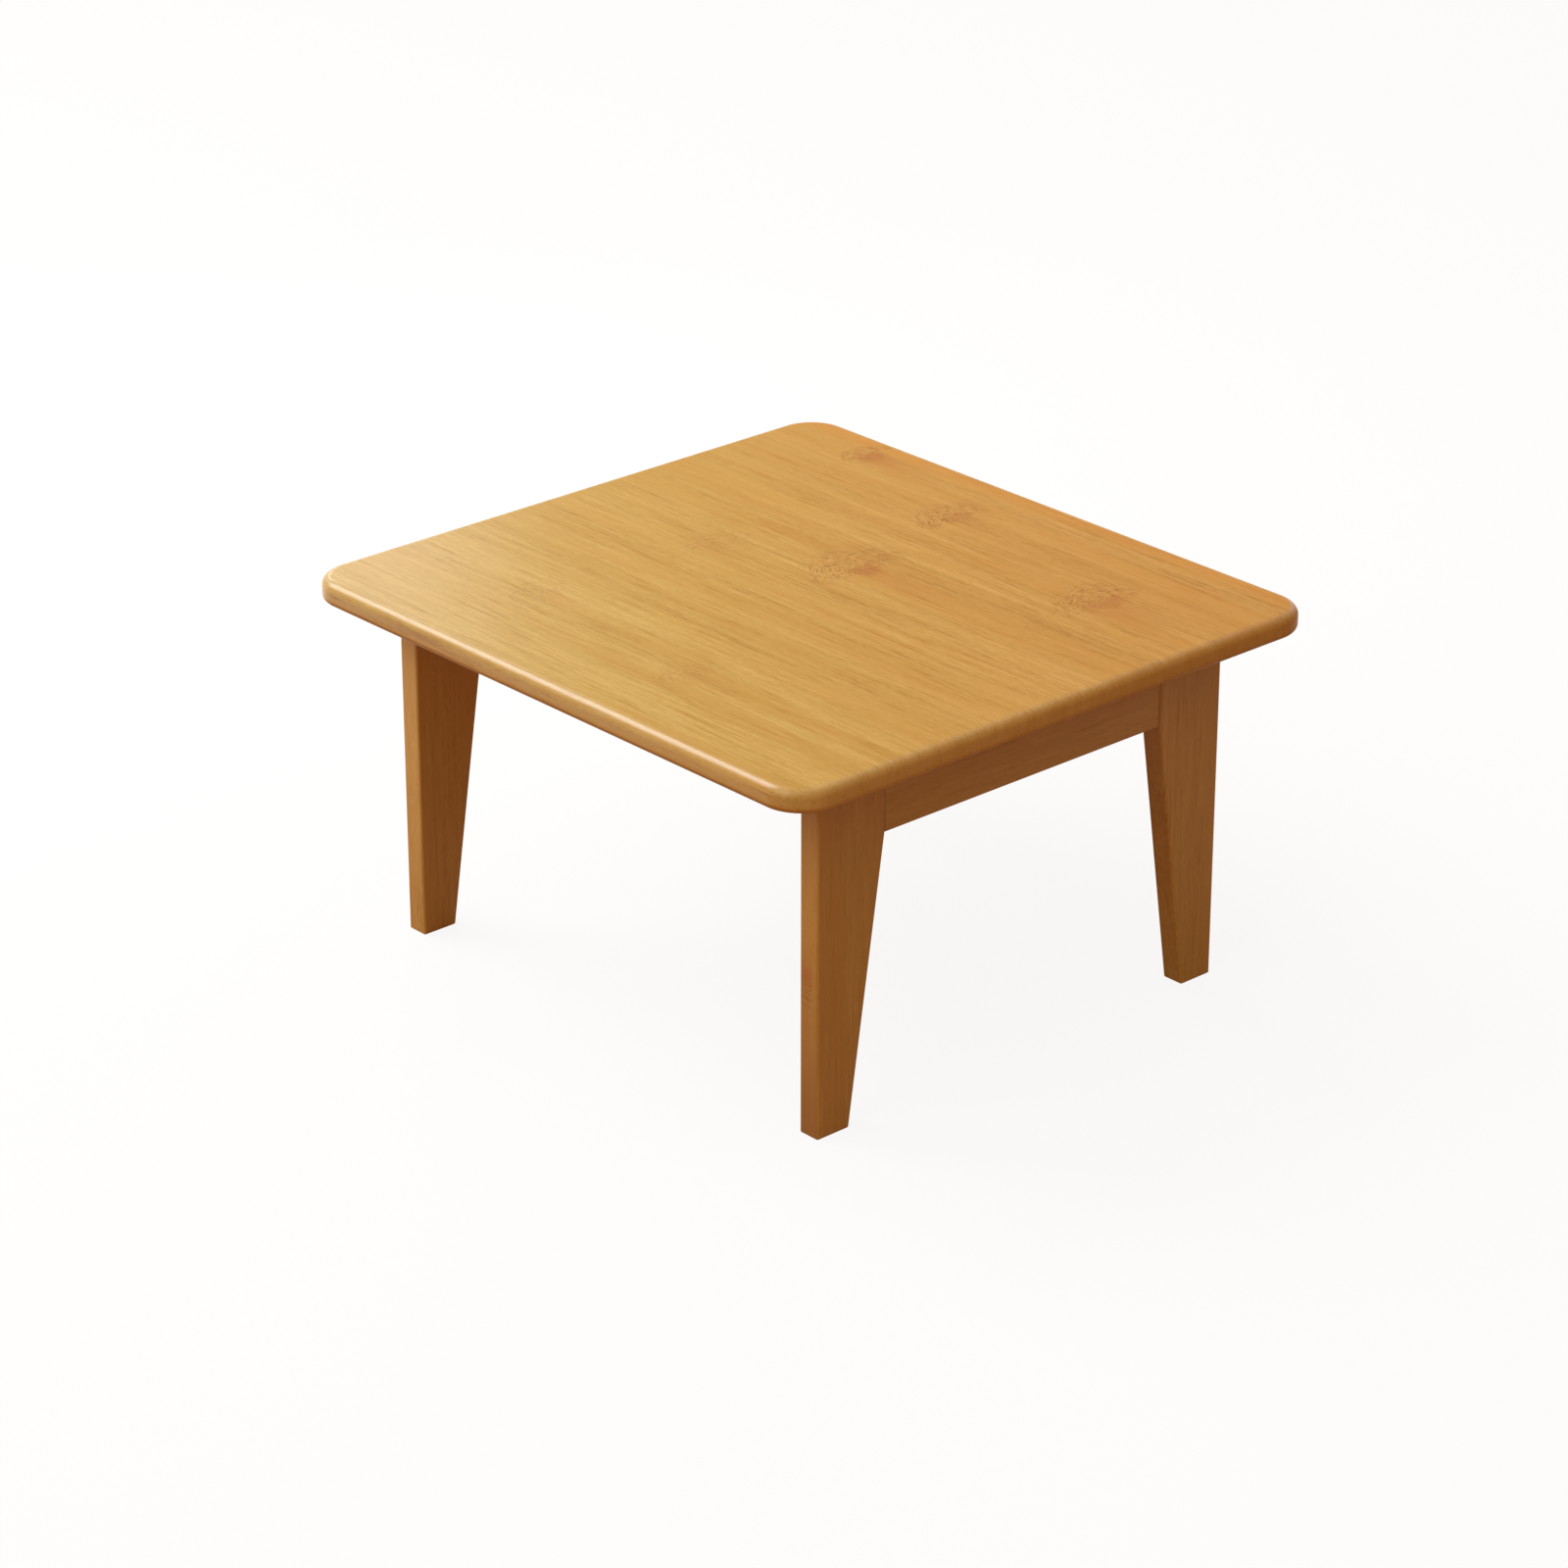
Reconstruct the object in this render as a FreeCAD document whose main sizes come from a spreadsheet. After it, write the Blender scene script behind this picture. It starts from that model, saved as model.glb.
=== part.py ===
import FreeCAD, Part
import os
import re
import Sketcher

# A low bamboo table whose two leg frames fold inwards under the top.
# Millimetres, +Z up, the origin on the floor under the middle of the top.
# X runs along the aprons and Y along the strips of the top.
# The front left quarter is drawn, and mirrors make the other three.

SIZES = [
    ("top_length", 600.0, "top, along its strips (Y)"),
    ("top_width", 563.0, "top, across its strips (X)"),
    ("table_height", 325.0, "floor to the face of the top"),
    ("top_thickness", 20.5, "laminated board of the top"),
    ("corner_radius", 36.0, "corners of the top in plan"),
    ("upper_edge_radius", 8.0, "round of the top's upper edge"),
    ("lower_edge_radius", 6.0, "round of the top's lower edge"),
    ("end_inset", 45.0, "end of the top to a frame's outer face"),
    ("side_inset", 62.0, "side of the top to a leg's outer edge"),
    ("leg_thickness", 20.5, "flat board of a leg"),
    ("leg_width_top", 69.5, "leg beside the apron"),
    ("leg_width_foot", 33.5, "leg at the floor"),
    ("leg_edge_radius", 2.0, "eased long edges of a leg"),
    ("foot_chamfer", 0.8, "broken edge round the foot"),
    ("bearing_gap", 0.3, "top of a frame to the underside"),
    ("apron_height", 63.0, "underside to the apron's lower edge"),
    ("apron_thickness", 18.5, "board of the apron"),
    ("apron_setback", 1.0, "apron's face behind the legs' faces"),
    ("apron_edge_radius", 1.5, "eased lower edges of the apron"),
    ("dowel_radius", 4.0, "bamboo dowel between leg and apron"),
    ("dowel_length", 30.0, "half in the leg, half in the apron"),
    ("dowel_spacing", 32.0, "between the two dowels of a joint"),
    ("dowel_chamfer", 0.8, "broken ends of a dowel"),
    ("dowel_glue_gap", 0.1, "glue round a dowel"),
    ("dowel_end_gap", 1.0, "glue space past each end of a dowel"),
    ("hinge_length", 56.0, "leaf along the pin"),
    ("hinge_inset", 38.0, "leg's inner edge to the middle of the hinge"),
    ("leaf_depth", 25.0, "pin to the free edge of a leaf"),
    ("leaf_thickness", 2.0, "steel of a leaf"),
    ("leaf_corner_radius", 3.0, "free corners of a leaf"),
    ("pin_radius", 1.6, "hinge pin"),
    ("pin_clearance", 0.05, "running fit round the pin"),
    ("pin_head_radius", 2.5, "peened ends of the pin"),
    ("pin_head_height", 0.8, "peened ends of the pin"),
    ("barrel_clearance", 0.3, "knuckles to the wood"),
    ("knuckle_gap", 0.4, "between neighbouring knuckles"),
    ("outer_screw_depth", 10.5, "pin to the two outer screws of a leaf"),
    ("middle_screw_depth", 18.0, "pin to the middle screw of a leaf"),
    ("leaf_screw_spread", 18.0, "middle of a leaf to an outer screw"),
    ("screw_radius", 1.6, "shank of every wood screw"),
    ("screw_head_radius", 3.5, "countersunk head"),
    ("screw_tip_length", 4.0, "point of every screw"),
    ("screw_clearance", 0.1, "screw to its hole"),
    ("recess_reach", 1.9, "middle of a screw's cross recess to the end of an arm"),
    ("recess_half_width", 0.5, "half the width of an arm"),
    ("recess_depth", 1.3, "cross recess into the head"),
    ("leaf_screw_length", 15.5, "whole screw, head and point"),
    ("batten_screw_length", 26.0, "whole screw, head and point"),
    ("batten_length", 270.0, "batten, between the folded legs"),
    ("batten_width", 32.0, "batten, along Y"),
    ("batten_thickness", 12.0, "batten under the top"),
    ("batten_offset", 90.0, "middle of the top to the middle of a batten"),
    ("batten_edge_radius", 2.5, "eased lower edges of a batten"),
    ("inner_batten_screw", 40.0, "middle of a batten to its inner screws"),
    ("outer_batten_screw", 112.0, "middle of a batten to its outer screws"),
    ("catch_width", 28.0, "spring steel strip of the catch"),
    ("catch_thickness", 1.0, "spring steel strip of the catch"),
    ("catch_arm", 56.0, "lip to the bend at the plate"),
    ("catch_plate", 24.0, "part that is screwed to the top"),
    ("catch_drop", 8.0, "underside to the root of the lip"),
    ("catch_lip", 6.0, "lip below its root"),
    ("catch_gap", 0.3, "lip to the apron"),
    ("catch_bend_radius", 1.5, "inside of the catch's bends"),
    ("catch_corner_radius", 4.0, "corners of the catch's plate"),
    ("catch_screw_spread", 8.0, "middle of the catch to a screw"),
    ("catch_screw_length", 14.0, "whole screw, head and point"),
    ("pan_head_radius", 3.4, "round head of a catch screw"),
    ("pan_head_height", 2.0, "round head of a catch screw"),
    ("overrun", 2.0, "how far a cut runs past what it cuts"),
]

# Sizes that follow from the ones above.
DERIVED = [
    ("half_length", "top_length / 2"),
    ("half_width", "top_width / 2"),
    ("underside", "table_height - top_thickness"),
    ("leg_length", "underside - bearing_gap"),
    ("apron_bottom", "underside - apron_height"),
    ("apron_board", "apron_height - bearing_gap"),
    ("leg_outer_x", "half_width - side_inset"),
    ("leg_inner_x", "leg_outer_x - leg_width_top"),
    ("frame_outer_y", "half_length - end_inset"),
    ("frame_inner_y", "frame_outer_y - leg_thickness"),
    ("apron_outer_y", "frame_outer_y - apron_setback"),
    ("apron_inner_y", "apron_outer_y - apron_thickness"),
    ("dowel_hole_radius", "dowel_radius + dowel_glue_gap"),
    ("dowel_hole_depth", "dowel_length / 2 + dowel_end_gap"),
    ("dowel_in_leg", "apron_setback + apron_thickness / 2"),
    ("dowel_in_apron", "apron_thickness / 2"),
    ("lower_dowel", "(apron_board - dowel_spacing) / 2"),
    ("upper_dowel", "(apron_board + dowel_spacing) / 2"),
    ("lower_dowel_z", "apron_bottom + lower_dowel"),
    ("upper_dowel_z", "apron_bottom + upper_dowel"),
    ("barrel_radius", "pin_radius + leaf_thickness"),
    ("bore_radius", "pin_radius + pin_clearance"),
    ("axis_offset", "barrel_radius + barrel_clearance"),
    ("leaf_face", "axis_offset - leaf_thickness"),
    ("axis_y", "frame_inner_y - axis_offset"),
    ("axis_z", "underside - axis_offset"),
    ("hinge_x", "leg_inner_x + hinge_inset"),
    ("half_hinge", "hinge_length / 2"),
    ("knuckle_pitch", "hinge_length / 5"),
    ("middle_cut", "knuckle_pitch / 2 + knuckle_gap / 2"),
    ("middle_keep", "knuckle_pitch / 2 - knuckle_gap / 2"),
    ("outer_cut", "knuckle_pitch * 3 / 2 + knuckle_gap / 2"),
    ("outer_keep", "knuckle_pitch * 3 / 2 - knuckle_gap / 2"),
    ("past_hinge", "half_hinge + overrun"),
    ("past_barrel", "barrel_radius + overrun"),
    ("screw_hole_radius", "screw_radius + screw_clearance"),
    ("screw_seat_radius", "screw_head_radius + screw_clearance"),
    ("screw_head_height", "screw_head_radius - screw_radius"),
    ("leaf_pilot_depth", "leaf_screw_length - leaf_thickness + screw_clearance"),
    ("batten_pilot_depth", "batten_screw_length - batten_thickness + screw_clearance"),
    ("catch_pilot_depth", "catch_screw_length - pan_head_height - catch_thickness + screw_clearance"),
    ("half_batten", "batten_length / 2"),
    ("half_batten_width", "batten_width / 2"),
    ("catch_reach", "catch_arm + catch_plate"),
    ("catch_lip_foot", "catch_drop + catch_lip"),
    ("catch_arm_foot", "catch_drop + catch_thickness"),
    ("catch_screw_reach", "catch_arm + catch_plate / 2"),
    ("catch_lip_y", "apron_inner_y - catch_gap"),
    ("outer_leaf_screw_x", "hinge_x + leaf_screw_spread"),
    ("inner_leaf_screw_x", "hinge_x - leaf_screw_spread"),
    ("outer_leaf_screw_y", "axis_y - outer_screw_depth"),
    ("middle_leaf_screw_y", "axis_y - middle_screw_depth"),
    ("catch_screw_y", "catch_lip_y - catch_screw_reach"),
    ("leg_screw_middle", "leg_width_top - hinge_inset"),
    ("leg_screw_outer", "leg_screw_middle - leaf_screw_spread"),
    ("leg_screw_inner", "leg_screw_middle + leaf_screw_spread"),
    ("leg_screw_high", "axis_z - outer_screw_depth"),
    ("leg_screw_low", "axis_z - middle_screw_depth"),
    ("leaf_screw_shoulder", "leaf_screw_length - screw_tip_length"),
    ("batten_screw_shoulder", "batten_screw_length - screw_tip_length"),
    ("catch_screw_shoulder", "catch_screw_length - screw_tip_length"),
    ("pan_head_shoulder", "pan_head_height / 2"),
    ("pan_head_crown", "pan_head_radius / 2"),
    ("catch_outer_bend", "catch_bend_radius + catch_thickness"),
]

NEAR = 1e-4  # two places closer than this are one

doc = FreeCAD.newDocument("folding_table")
sheet = doc.addObject("Spreadsheet::Sheet", "sizes")


def fill_sheet():
    """Every size is a plain number in the sheet, and every derived size a formula."""
    for row, (alias, number, note) in enumerate(SIZES, start=1):
        sheet.set("A%d" % row, note)
        sheet.set("B%d" % row, str(number))
        sheet.setAlias("B%d" % row, alias)
    for row, (alias, rule) in enumerate(DERIVED, start=len(SIZES) + 1):
        sheet.set("A%d" % row, alias.replace("_", " "))
        sheet.set("B%d" % row, "=" + rule)
        sheet.setAlias("B%d" % row, alias)
    doc.recompute()


fill_sheet()


def size(alias):
    """The number in a cell, with a minus sign before the alias turning it round."""
    if alias == "0":
        return 0.0
    return -size(alias[1:]) if alias[0] == "-" else float(sheet.get(alias))


def rule(text):
    """An expression on the sheet's cells, from the same words as in the lists above."""
    return re.sub(r"[a-z]\w*", lambda word: "sizes." + word.group(0), text)


def bind(thing, prop, text):
    """Ties a property to the sheet."""
    thing.setExpression(prop, rule(text))


def place(thing, x, y, z):
    """Puts an object where three expressions say."""
    for axis, text in zip("xyz", (x, y, z)):
        if text != "0":
            bind(thing, "Placement.Base." + axis, text)


def new_body(label):
    """A PartDesign body under its own label."""
    body = doc.addObject("PartDesign::Body", label)
    body.Label = label
    return body


def new_sketch(body, plane, level="0"):
    """A sketch on one of the body's own planes, shifted along the plane's normal."""
    sketch = body.newObject("Sketcher::SketchObject", body.Name + "_sketch")
    base = next(f for f in body.Origin.OriginFeatures if f.Role == plane)
    sketch.AttachmentSupport = [(base, "")]
    sketch.MapMode = "FlatFace"
    if level != "0":
        bind(sketch, "AttachmentOffset.Base.z", level)
    return sketch


def hold(sketch, kind, geometry, point, alias):
    """Holds one point of a sketch at a signed distance from the sketch's origin."""
    constraint = Sketcher.Constraint(kind, -1, 1, geometry, point, size(alias))
    number = sketch.addConstraint(constraint)
    if alias != "0":
        bind(sketch, "Constraints[%d]" % number, alias)


def outline(sketch, corners):
    """A closed outline whose corners are pairs of aliases."""
    first = sketch.GeometryCount
    spots = [FreeCAD.Vector(size(x), size(y), 0) for x, y in corners]
    count = len(corners)
    for n in range(count):
        line = Part.LineSegment(spots[n], spots[(n + 1) % count])
        sketch.addGeometry(line, False)
    for n in range(count):
        after = first + (n + 1) % count
        sketch.addConstraint(Sketcher.Constraint("Coincident", first + n, 2, after, 1))
    for n, (x, y) in enumerate(corners):
        hold(sketch, "DistanceX", first + n, 1, x)
        hold(sketch, "DistanceY", first + n, 1, y)


def rectangle(sketch, left, right, low, high):
    """An upright rectangle between four aliases."""
    outline(sketch, [(left, low), (right, low), (right, high), (left, high)])


def circle(sketch, x, y, radius):
    """A circle whose middle and radius are aliases."""
    middle = FreeCAD.Vector(size(x), size(y), 0)
    upward = FreeCAD.Vector(0, 0, 1)
    number = sketch.addGeometry(Part.Circle(middle, upward, size(radius)), False)
    hold(sketch, "DistanceX", number, 3, x)
    hold(sketch, "DistanceY", number, 3, y)
    held = sketch.addConstraint(Sketcher.Constraint("Radius", number, size(radius)))
    bind(sketch, "Constraints[%d]" % held, radius)


def pad(body, sketch, length, back=False, middle=False):
    """Adds material, along the sketch's normal, against it or both ways."""
    feature = body.newObject("PartDesign::Pad", body.Name + "_pad")
    feature.Profile = sketch
    bind(feature, "Length", length)
    feature.Reversed = back
    feature.Midplane = middle
    doc.recompute()
    return feature


def pocket(body, sketch, depth, back=False, middle=False):
    """Cuts material, and stops if nothing was cut."""
    before = body.Shape.Volume
    feature = body.newObject("PartDesign::Pocket", body.Name + "_pocket")
    feature.Profile = sketch
    bind(feature, "Length", depth)
    feature.Reversed = back
    feature.Midplane = middle
    doc.recompute()
    if body.Shape.Volume > before - NEAR:
        raise RuntimeError("a pocket in %s cut nothing" % body.Label)
    return feature


def edges_of(feature, wanted):
    """Names of the edges that a test picks out."""
    shape = feature.Shape
    return ["Edge%d" % n for n, edge in enumerate(shape.Edges, start=1) if wanted(edge)]


def at_level(edge, axis, level):
    """Whether a whole edge lies at one level of an axis."""
    box = edge.BoundBox
    low, high = {"x": (box.XMin, box.XMax), "y": (box.YMin, box.YMax), "z": (box.ZMin, box.ZMax)}[axis]
    return abs(low - level) < NEAR and abs(high - level) < NEAR


def along(edge, axis):
    """Whether an edge is a straight run along one axis."""
    box = edge.BoundBox
    spans = {"x": box.XLength, "y": box.YLength, "z": box.ZLength}
    return spans[axis] > NEAR and all(spans[a] < NEAR for a in spans if a != axis)


def dress(body, kind, wanted, amount):
    """A fillet or chamfer on the edges that a test picks out of the body's tip."""
    base = body.Tip
    names = edges_of(base, wanted)
    if not names:
        raise RuntimeError("%s has no edge for its %s" % (body.Label, kind))
    feature = body.newObject("PartDesign::" + kind, body.Name + "_" + kind.lower())
    feature.Base = (base, names)
    bind(feature, "Radius" if kind == "Fillet" else "Size", amount)
    doc.recompute()
    return feature


def mirror_features(body, features, plane):
    """Repeats features on the other side of one of the body's planes."""
    feature = body.newObject("PartDesign::Mirrored", body.Name + "_mirrored")
    feature.Originals = features
    base = next(f for f in body.Origin.OriginFeatures if f.Role == plane)
    feature.MirrorPlane = (base, [""])
    body.Tip = feature
    doc.recompute()
    return feature


def both_ways(body, features):
    """Repeats features in all four quarters of a body."""
    planes = {f.Role: f for f in body.Origin.OriginFeatures}
    feature = body.newObject("PartDesign::MultiTransform", body.Name + "_quarters")
    steps = []
    for role in ("YZ_Plane", "XZ_Plane"):
        step = doc.addObject("PartDesign::Mirrored", body.Name + "_step")
        step.MirrorPlane = (planes[role], [""])
        body.addObject(step)
        steps.append(step)
    feature.Originals = features
    feature.Transformations = steps
    body.Tip = feature
    doc.recompute()
    return feature


nodes = []


def keep(thing):
    """Marks an object as one of the table's pieces."""
    nodes.append(thing)
    return thing


def mirrored(source, label, normal):
    """A piece that is the mirror image of another, through the origin."""
    copy = doc.addObject("Part::Mirroring", label)
    copy.Label = label
    copy.Source = source
    copy.Normal = FreeCAD.Vector(*normal)
    return keep(copy)


ACROSS_X, ACROSS_Y = (1, 0, 0), (0, 1, 0)


def left_and_right(source, words):
    """Keeps a front left piece and makes the other three from it."""
    keep(source)
    right = mirrored(source, "front_right_" + words, ACROSS_X)
    mirrored(source, "rear_left_" + words, ACROSS_Y)
    mirrored(right, "rear_right_" + words, ACROSS_Y)


# The top is one laminated board: a rounded rectangle with its edges rounded over.
def make_top():
    body = new_body("table_top")
    plan = new_sketch(body, "XY_Plane")
    rectangle(plan, "-half_width", "half_width", "-half_length", "half_length")
    pad(body, plan, "top_thickness")
    dress(body, "Fillet", lambda edge: along(edge, "z"), "corner_radius")
    face = size("top_thickness")
    dress(body, "Fillet", lambda edge: at_level(edge, "z", face), "upper_edge_radius")
    dress(body, "Fillet", lambda edge: at_level(edge, "z", 0), "lower_edge_radius")
    for spots, depth in (
        (
            [
                ("-outer_leaf_screw_x", "-outer_leaf_screw_y"),
                ("-hinge_x", "-middle_leaf_screw_y"),
                ("-inner_leaf_screw_x", "-outer_leaf_screw_y"),
            ],
            "leaf_pilot_depth",
        ),
        ([("-catch_screw_spread", "-catch_screw_y")], "catch_pilot_depth"),
        ([("-inner_batten_screw", "-batten_offset"), ("-outer_batten_screw", "-batten_offset")], "batten_pilot_depth"),
    ):
        pilots = new_sketch(body, "XY_Plane")
        for x, y in spots:
            circle(pilots, x, y, "screw_hole_radius")
        both_ways(body, [pocket(body, pilots, depth, back=True)])
    place(body, "0", "0", "underside")
    return keep(body)


# A leg is a flat board: its outer edge is upright and its inner edge tapers below the apron.
def make_leg():
    body = new_body("front_left_leg")
    face = new_sketch(body, "XZ_Plane")
    outline(
        face,
        [
            ("0", "0"),
            ("leg_width_foot", "0"),
            ("leg_width_top", "apron_bottom"),
            ("leg_width_top", "leg_length"),
            ("0", "leg_length"),
        ],
    )
    pad(body, face, "leg_thickness", back=True)
    faces = (0, size("leg_thickness"))
    ends = (0, size("leg_length"))
    dress(
        body,
        "Fillet",
        lambda edge: any(at_level(edge, "y", level) for level in faces)
        and not any(at_level(edge, "z", level) for level in ends),
        "leg_edge_radius",
    )
    dress(body, "Chamfer", lambda edge: at_level(edge, "z", 0), "foot_chamfer")
    dowels = new_sketch(body, "YZ_Plane", "leg_width_top")
    for height in ("lower_dowel_z", "upper_dowel_z"):
        circle(dowels, "dowel_in_leg", height, "dowel_hole_radius")
    pocket(body, dowels, "dowel_hole_depth")
    pilots = new_sketch(body, "XZ_Plane", "-leg_thickness")
    circle(pilots, "leg_screw_outer", "leg_screw_high", "screw_hole_radius")
    circle(pilots, "leg_screw_middle", "leg_screw_low", "screw_hole_radius")
    circle(pilots, "leg_screw_inner", "leg_screw_high", "screw_hole_radius")
    pocket(body, pilots, "leaf_pilot_depth", back=True)
    place(body, "-leg_outer_x", "-frame_outer_y", "0")
    left_and_right(body, "leg")


# The apron is a plain board between two legs, with two dowel holes in each end.
def make_apron():
    body = new_body("front_apron")
    plan = new_sketch(body, "XY_Plane")
    rectangle(plan, "-leg_inner_x", "leg_inner_x", "0", "apron_thickness")
    pad(body, plan, "apron_board")
    faces = (0, size("apron_thickness"))
    dress(
        body,
        "Fillet",
        lambda edge: along(edge, "x")
        and at_level(edge, "z", 0)
        and any(at_level(edge, "y", level) for level in faces),
        "apron_edge_radius",
    )
    dowels = new_sketch(body, "YZ_Plane", "-leg_inner_x")
    for height in ("lower_dowel", "upper_dowel"):
        circle(dowels, "dowel_in_apron", height, "dowel_hole_radius")
    mirror_features(body, [pocket(body, dowels, "dowel_hole_depth", back=True)], "YZ_Plane")
    place(body, "0", "-apron_outer_y", "apron_bottom")
    mirrored(keep(body), "rear_apron", ACROSS_Y)


# A batten lies across the strips and keeps the top flat. It ends short of the folded legs.
def make_batten():
    body = new_body("front_batten")
    plan = new_sketch(body, "XY_Plane")
    rectangle(plan, "-half_batten", "half_batten", "-half_batten_width", "half_batten_width")
    pad(body, plan, "batten_thickness")
    dress(body, "Fillet", lambda edge: at_level(edge, "z", 0), "batten_edge_radius")
    screws = new_sketch(body, "XY_Plane")
    for x in ("inner_batten_screw", "outer_batten_screw"):
        circle(screws, x, "0", "screw_hole_radius")
        circle(screws, "-" + x, "0", "screw_hole_radius")
    countersink(body, screws, "batten_thickness", up=True)
    place(body, "0", "-batten_offset", "underside - batten_thickness")
    mirrored(keep(body), "rear_batten", ACROSS_Y)


def countersink(body, sketch, depth, up):
    """Countersunk screw holes that start at the sketch and go up or down."""
    doc.recompute()
    before = body.Shape.Volume
    feature = body.newObject("PartDesign::Hole", body.Name + "_hole")
    feature.Profile = sketch
    doc.recompute()
    feature.Threaded = False
    feature.DepthType = "Dimension"
    feature.DrillPoint = "Flat"
    feature.HoleCutType = "Countersink"
    feature.HoleCutCustomValues = True
    bind(feature, "Diameter", "screw_hole_radius * 2")
    bind(feature, "Depth", depth + " + overrun")
    bind(feature, "HoleCutDiameter", "screw_seat_radius * 2")
    feature.HoleCutCountersinkAngle = 90
    feature.Reversed = up
    doc.recompute()
    if body.Shape.Volume > before - NEAR:
        raise RuntimeError("a screw hole in %s cut nothing" % body.Label)
    return feature


# A hinge has two steel leaves. Each is a plate that curls round the pin in knuckles.
# In its own frame the pin lies along X, and the plate runs to +Y above or below the pin.
def make_leaf(label, side, cuts):
    body = new_body(label)
    barrel = new_sketch(body, "YZ_Plane")
    circle(barrel, "0", "0", "barrel_radius")
    pad(body, barrel, "hinge_length", middle=True)
    sign = "" if side > 0 else "-"
    plate = new_sketch(body, "YZ_Plane")
    rectangle(plate, "0", "leaf_depth", sign + "leaf_face", sign + "axis_offset")
    pad(body, plate, "hinge_length", middle=True)
    free_edge = size("leaf_depth")
    dress(
        body,
        "Fillet",
        lambda edge: along(edge, "z") and at_level(edge, "y", free_edge),
        "leaf_corner_radius",
    )
    gaps = new_sketch(body, "XY_Plane")
    for left, right in cuts:
        rectangle(gaps, left, right, "-past_barrel", "axis_offset")
    pocket(body, gaps, "past_barrel * 2", middle=True)
    bore = new_sketch(body, "YZ_Plane")
    circle(bore, "0", "0", "bore_radius")
    pocket(body, bore, "past_hinge * 2", middle=True)
    screws = new_sketch(body, "XY_Plane", sign + "leaf_face")
    circle(screws, "-leaf_screw_spread", "outer_screw_depth", "screw_hole_radius")
    circle(screws, "0", "middle_screw_depth", "screw_hole_radius")
    circle(screws, "leaf_screw_spread", "outer_screw_depth", "screw_hole_radius")
    countersink(body, screws, "leaf_thickness", up=side > 0)
    return body


# The leaf under the top has the two outer knuckles and the middle one.
def make_top_leaf():
    cuts = [("-outer_cut", "-middle_keep"), ("middle_keep", "outer_cut")]
    body = make_leaf("front_left_top_leaf", 1, cuts)
    place(body, "-hinge_x", "-axis_y", "axis_z")
    left_and_right(body, "top_leaf")


# The leaf on the leg has the two knuckles between them. It hangs down the leg's inner face.
def make_leg_leaf():
    cuts = [("-past_hinge", "-outer_keep"), ("-middle_cut", "middle_cut"), ("outer_keep", "past_hinge")]
    body = make_leaf("front_left_leg_leaf", -1, cuts)
    quarter_turn = FreeCAD.Rotation(FreeCAD.Vector(1, 0, 0), -90)
    body.Placement = FreeCAD.Placement(FreeCAD.Vector(0, 0, 0), quarter_turn)
    place(body, "-hinge_x", "-axis_y", "axis_z")
    left_and_right(body, "leg_leaf")


# The pin runs through all five knuckles and is peened over at both ends.
def make_pin():
    body = new_body("front_left_hinge_pin")
    shank = new_sketch(body, "YZ_Plane")
    circle(shank, "0", "0", "pin_radius")
    pad(body, shank, "hinge_length", middle=True)
    head = new_sketch(body, "YZ_Plane", "half_hinge")
    circle(head, "0", "0", "pin_head_radius")
    mirror_features(body, [pad(body, head, "pin_head_height")], "YZ_Plane")
    crown = size("half_hinge") + size("pin_head_height")
    dress(
        body,
        "Chamfer",
        lambda edge: at_level(edge, "x", crown) or at_level(edge, "x", -crown),
        "pin_head_height / 2",
    )
    place(body, "-hinge_x", "-axis_y", "axis_z")
    left_and_right(body, "hinge_pin")


# The catch is a strip of spring steel. Its lip stands behind the open frame's apron.
# In its own frame the lip is at the origin, and the plate lies inboard of it at +Y.
def make_catch():
    body = new_body("front_catch_spring")
    side = new_sketch(body, "YZ_Plane")
    outline(
        side,
        [
            ("0", "-catch_lip_foot"),
            ("catch_thickness", "-catch_lip_foot"),
            ("catch_thickness", "-catch_arm_foot"),
            ("catch_arm", "-catch_thickness"),
            ("catch_reach", "-catch_thickness"),
            ("catch_reach", "0"),
            ("catch_arm", "0"),
            ("0", "-catch_drop"),
        ],
    )
    pad(body, side, "catch_width", middle=True)
    outside_of_lip = -size("catch_drop")
    dress(
        body,
        "Fillet",
        lambda edge: along(edge, "x") and at_level(edge, "y", 0) and at_level(edge, "z", outside_of_lip),
        "catch_outer_bend",
    )
    root = size("catch_thickness")
    inside_of_lip = -size("catch_arm_foot")
    dress(
        body,
        "Fillet",
        lambda edge: along(edge, "x") and at_level(edge, "y", root) and at_level(edge, "z", inside_of_lip),
        "catch_bend_radius",
    )
    plate_end = size("catch_reach")
    dress(
        body,
        "Fillet",
        lambda edge: along(edge, "z") and at_level(edge, "y", plate_end),
        "catch_corner_radius",
    )
    screws = new_sketch(body, "XY_Plane")
    for x in ("-catch_screw_spread", "catch_screw_spread"):
        circle(screws, x, "catch_screw_reach", "screw_hole_radius")
    pocket(body, screws, "catch_thickness + overrun")
    place(body, "0", "-catch_lip_y", "underside")
    mirrored(keep(body), "rear_catch_spring", ACROSS_Y)


# One screw of each kind is turned here, point up, with the top of its head at the origin.
# A cross recess is then cut into the head.
def turned_screw(label, profile):
    body = new_body(label)
    half = new_sketch(body, "XZ_Plane")
    outline(half, profile)
    turn = body.newObject("PartDesign::Revolution", label + "_turn")
    turn.Profile = half
    turn.ReferenceAxis = (half, ["V_Axis"])
    turn.Angle = 360
    doc.recompute()
    cross = new_sketch(body, "XY_Plane")
    outline(cross, cross_corners("recess_reach", "recess_half_width"))
    pocket(body, cross, "recess_depth", back=True)
    return body.Shape


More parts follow.
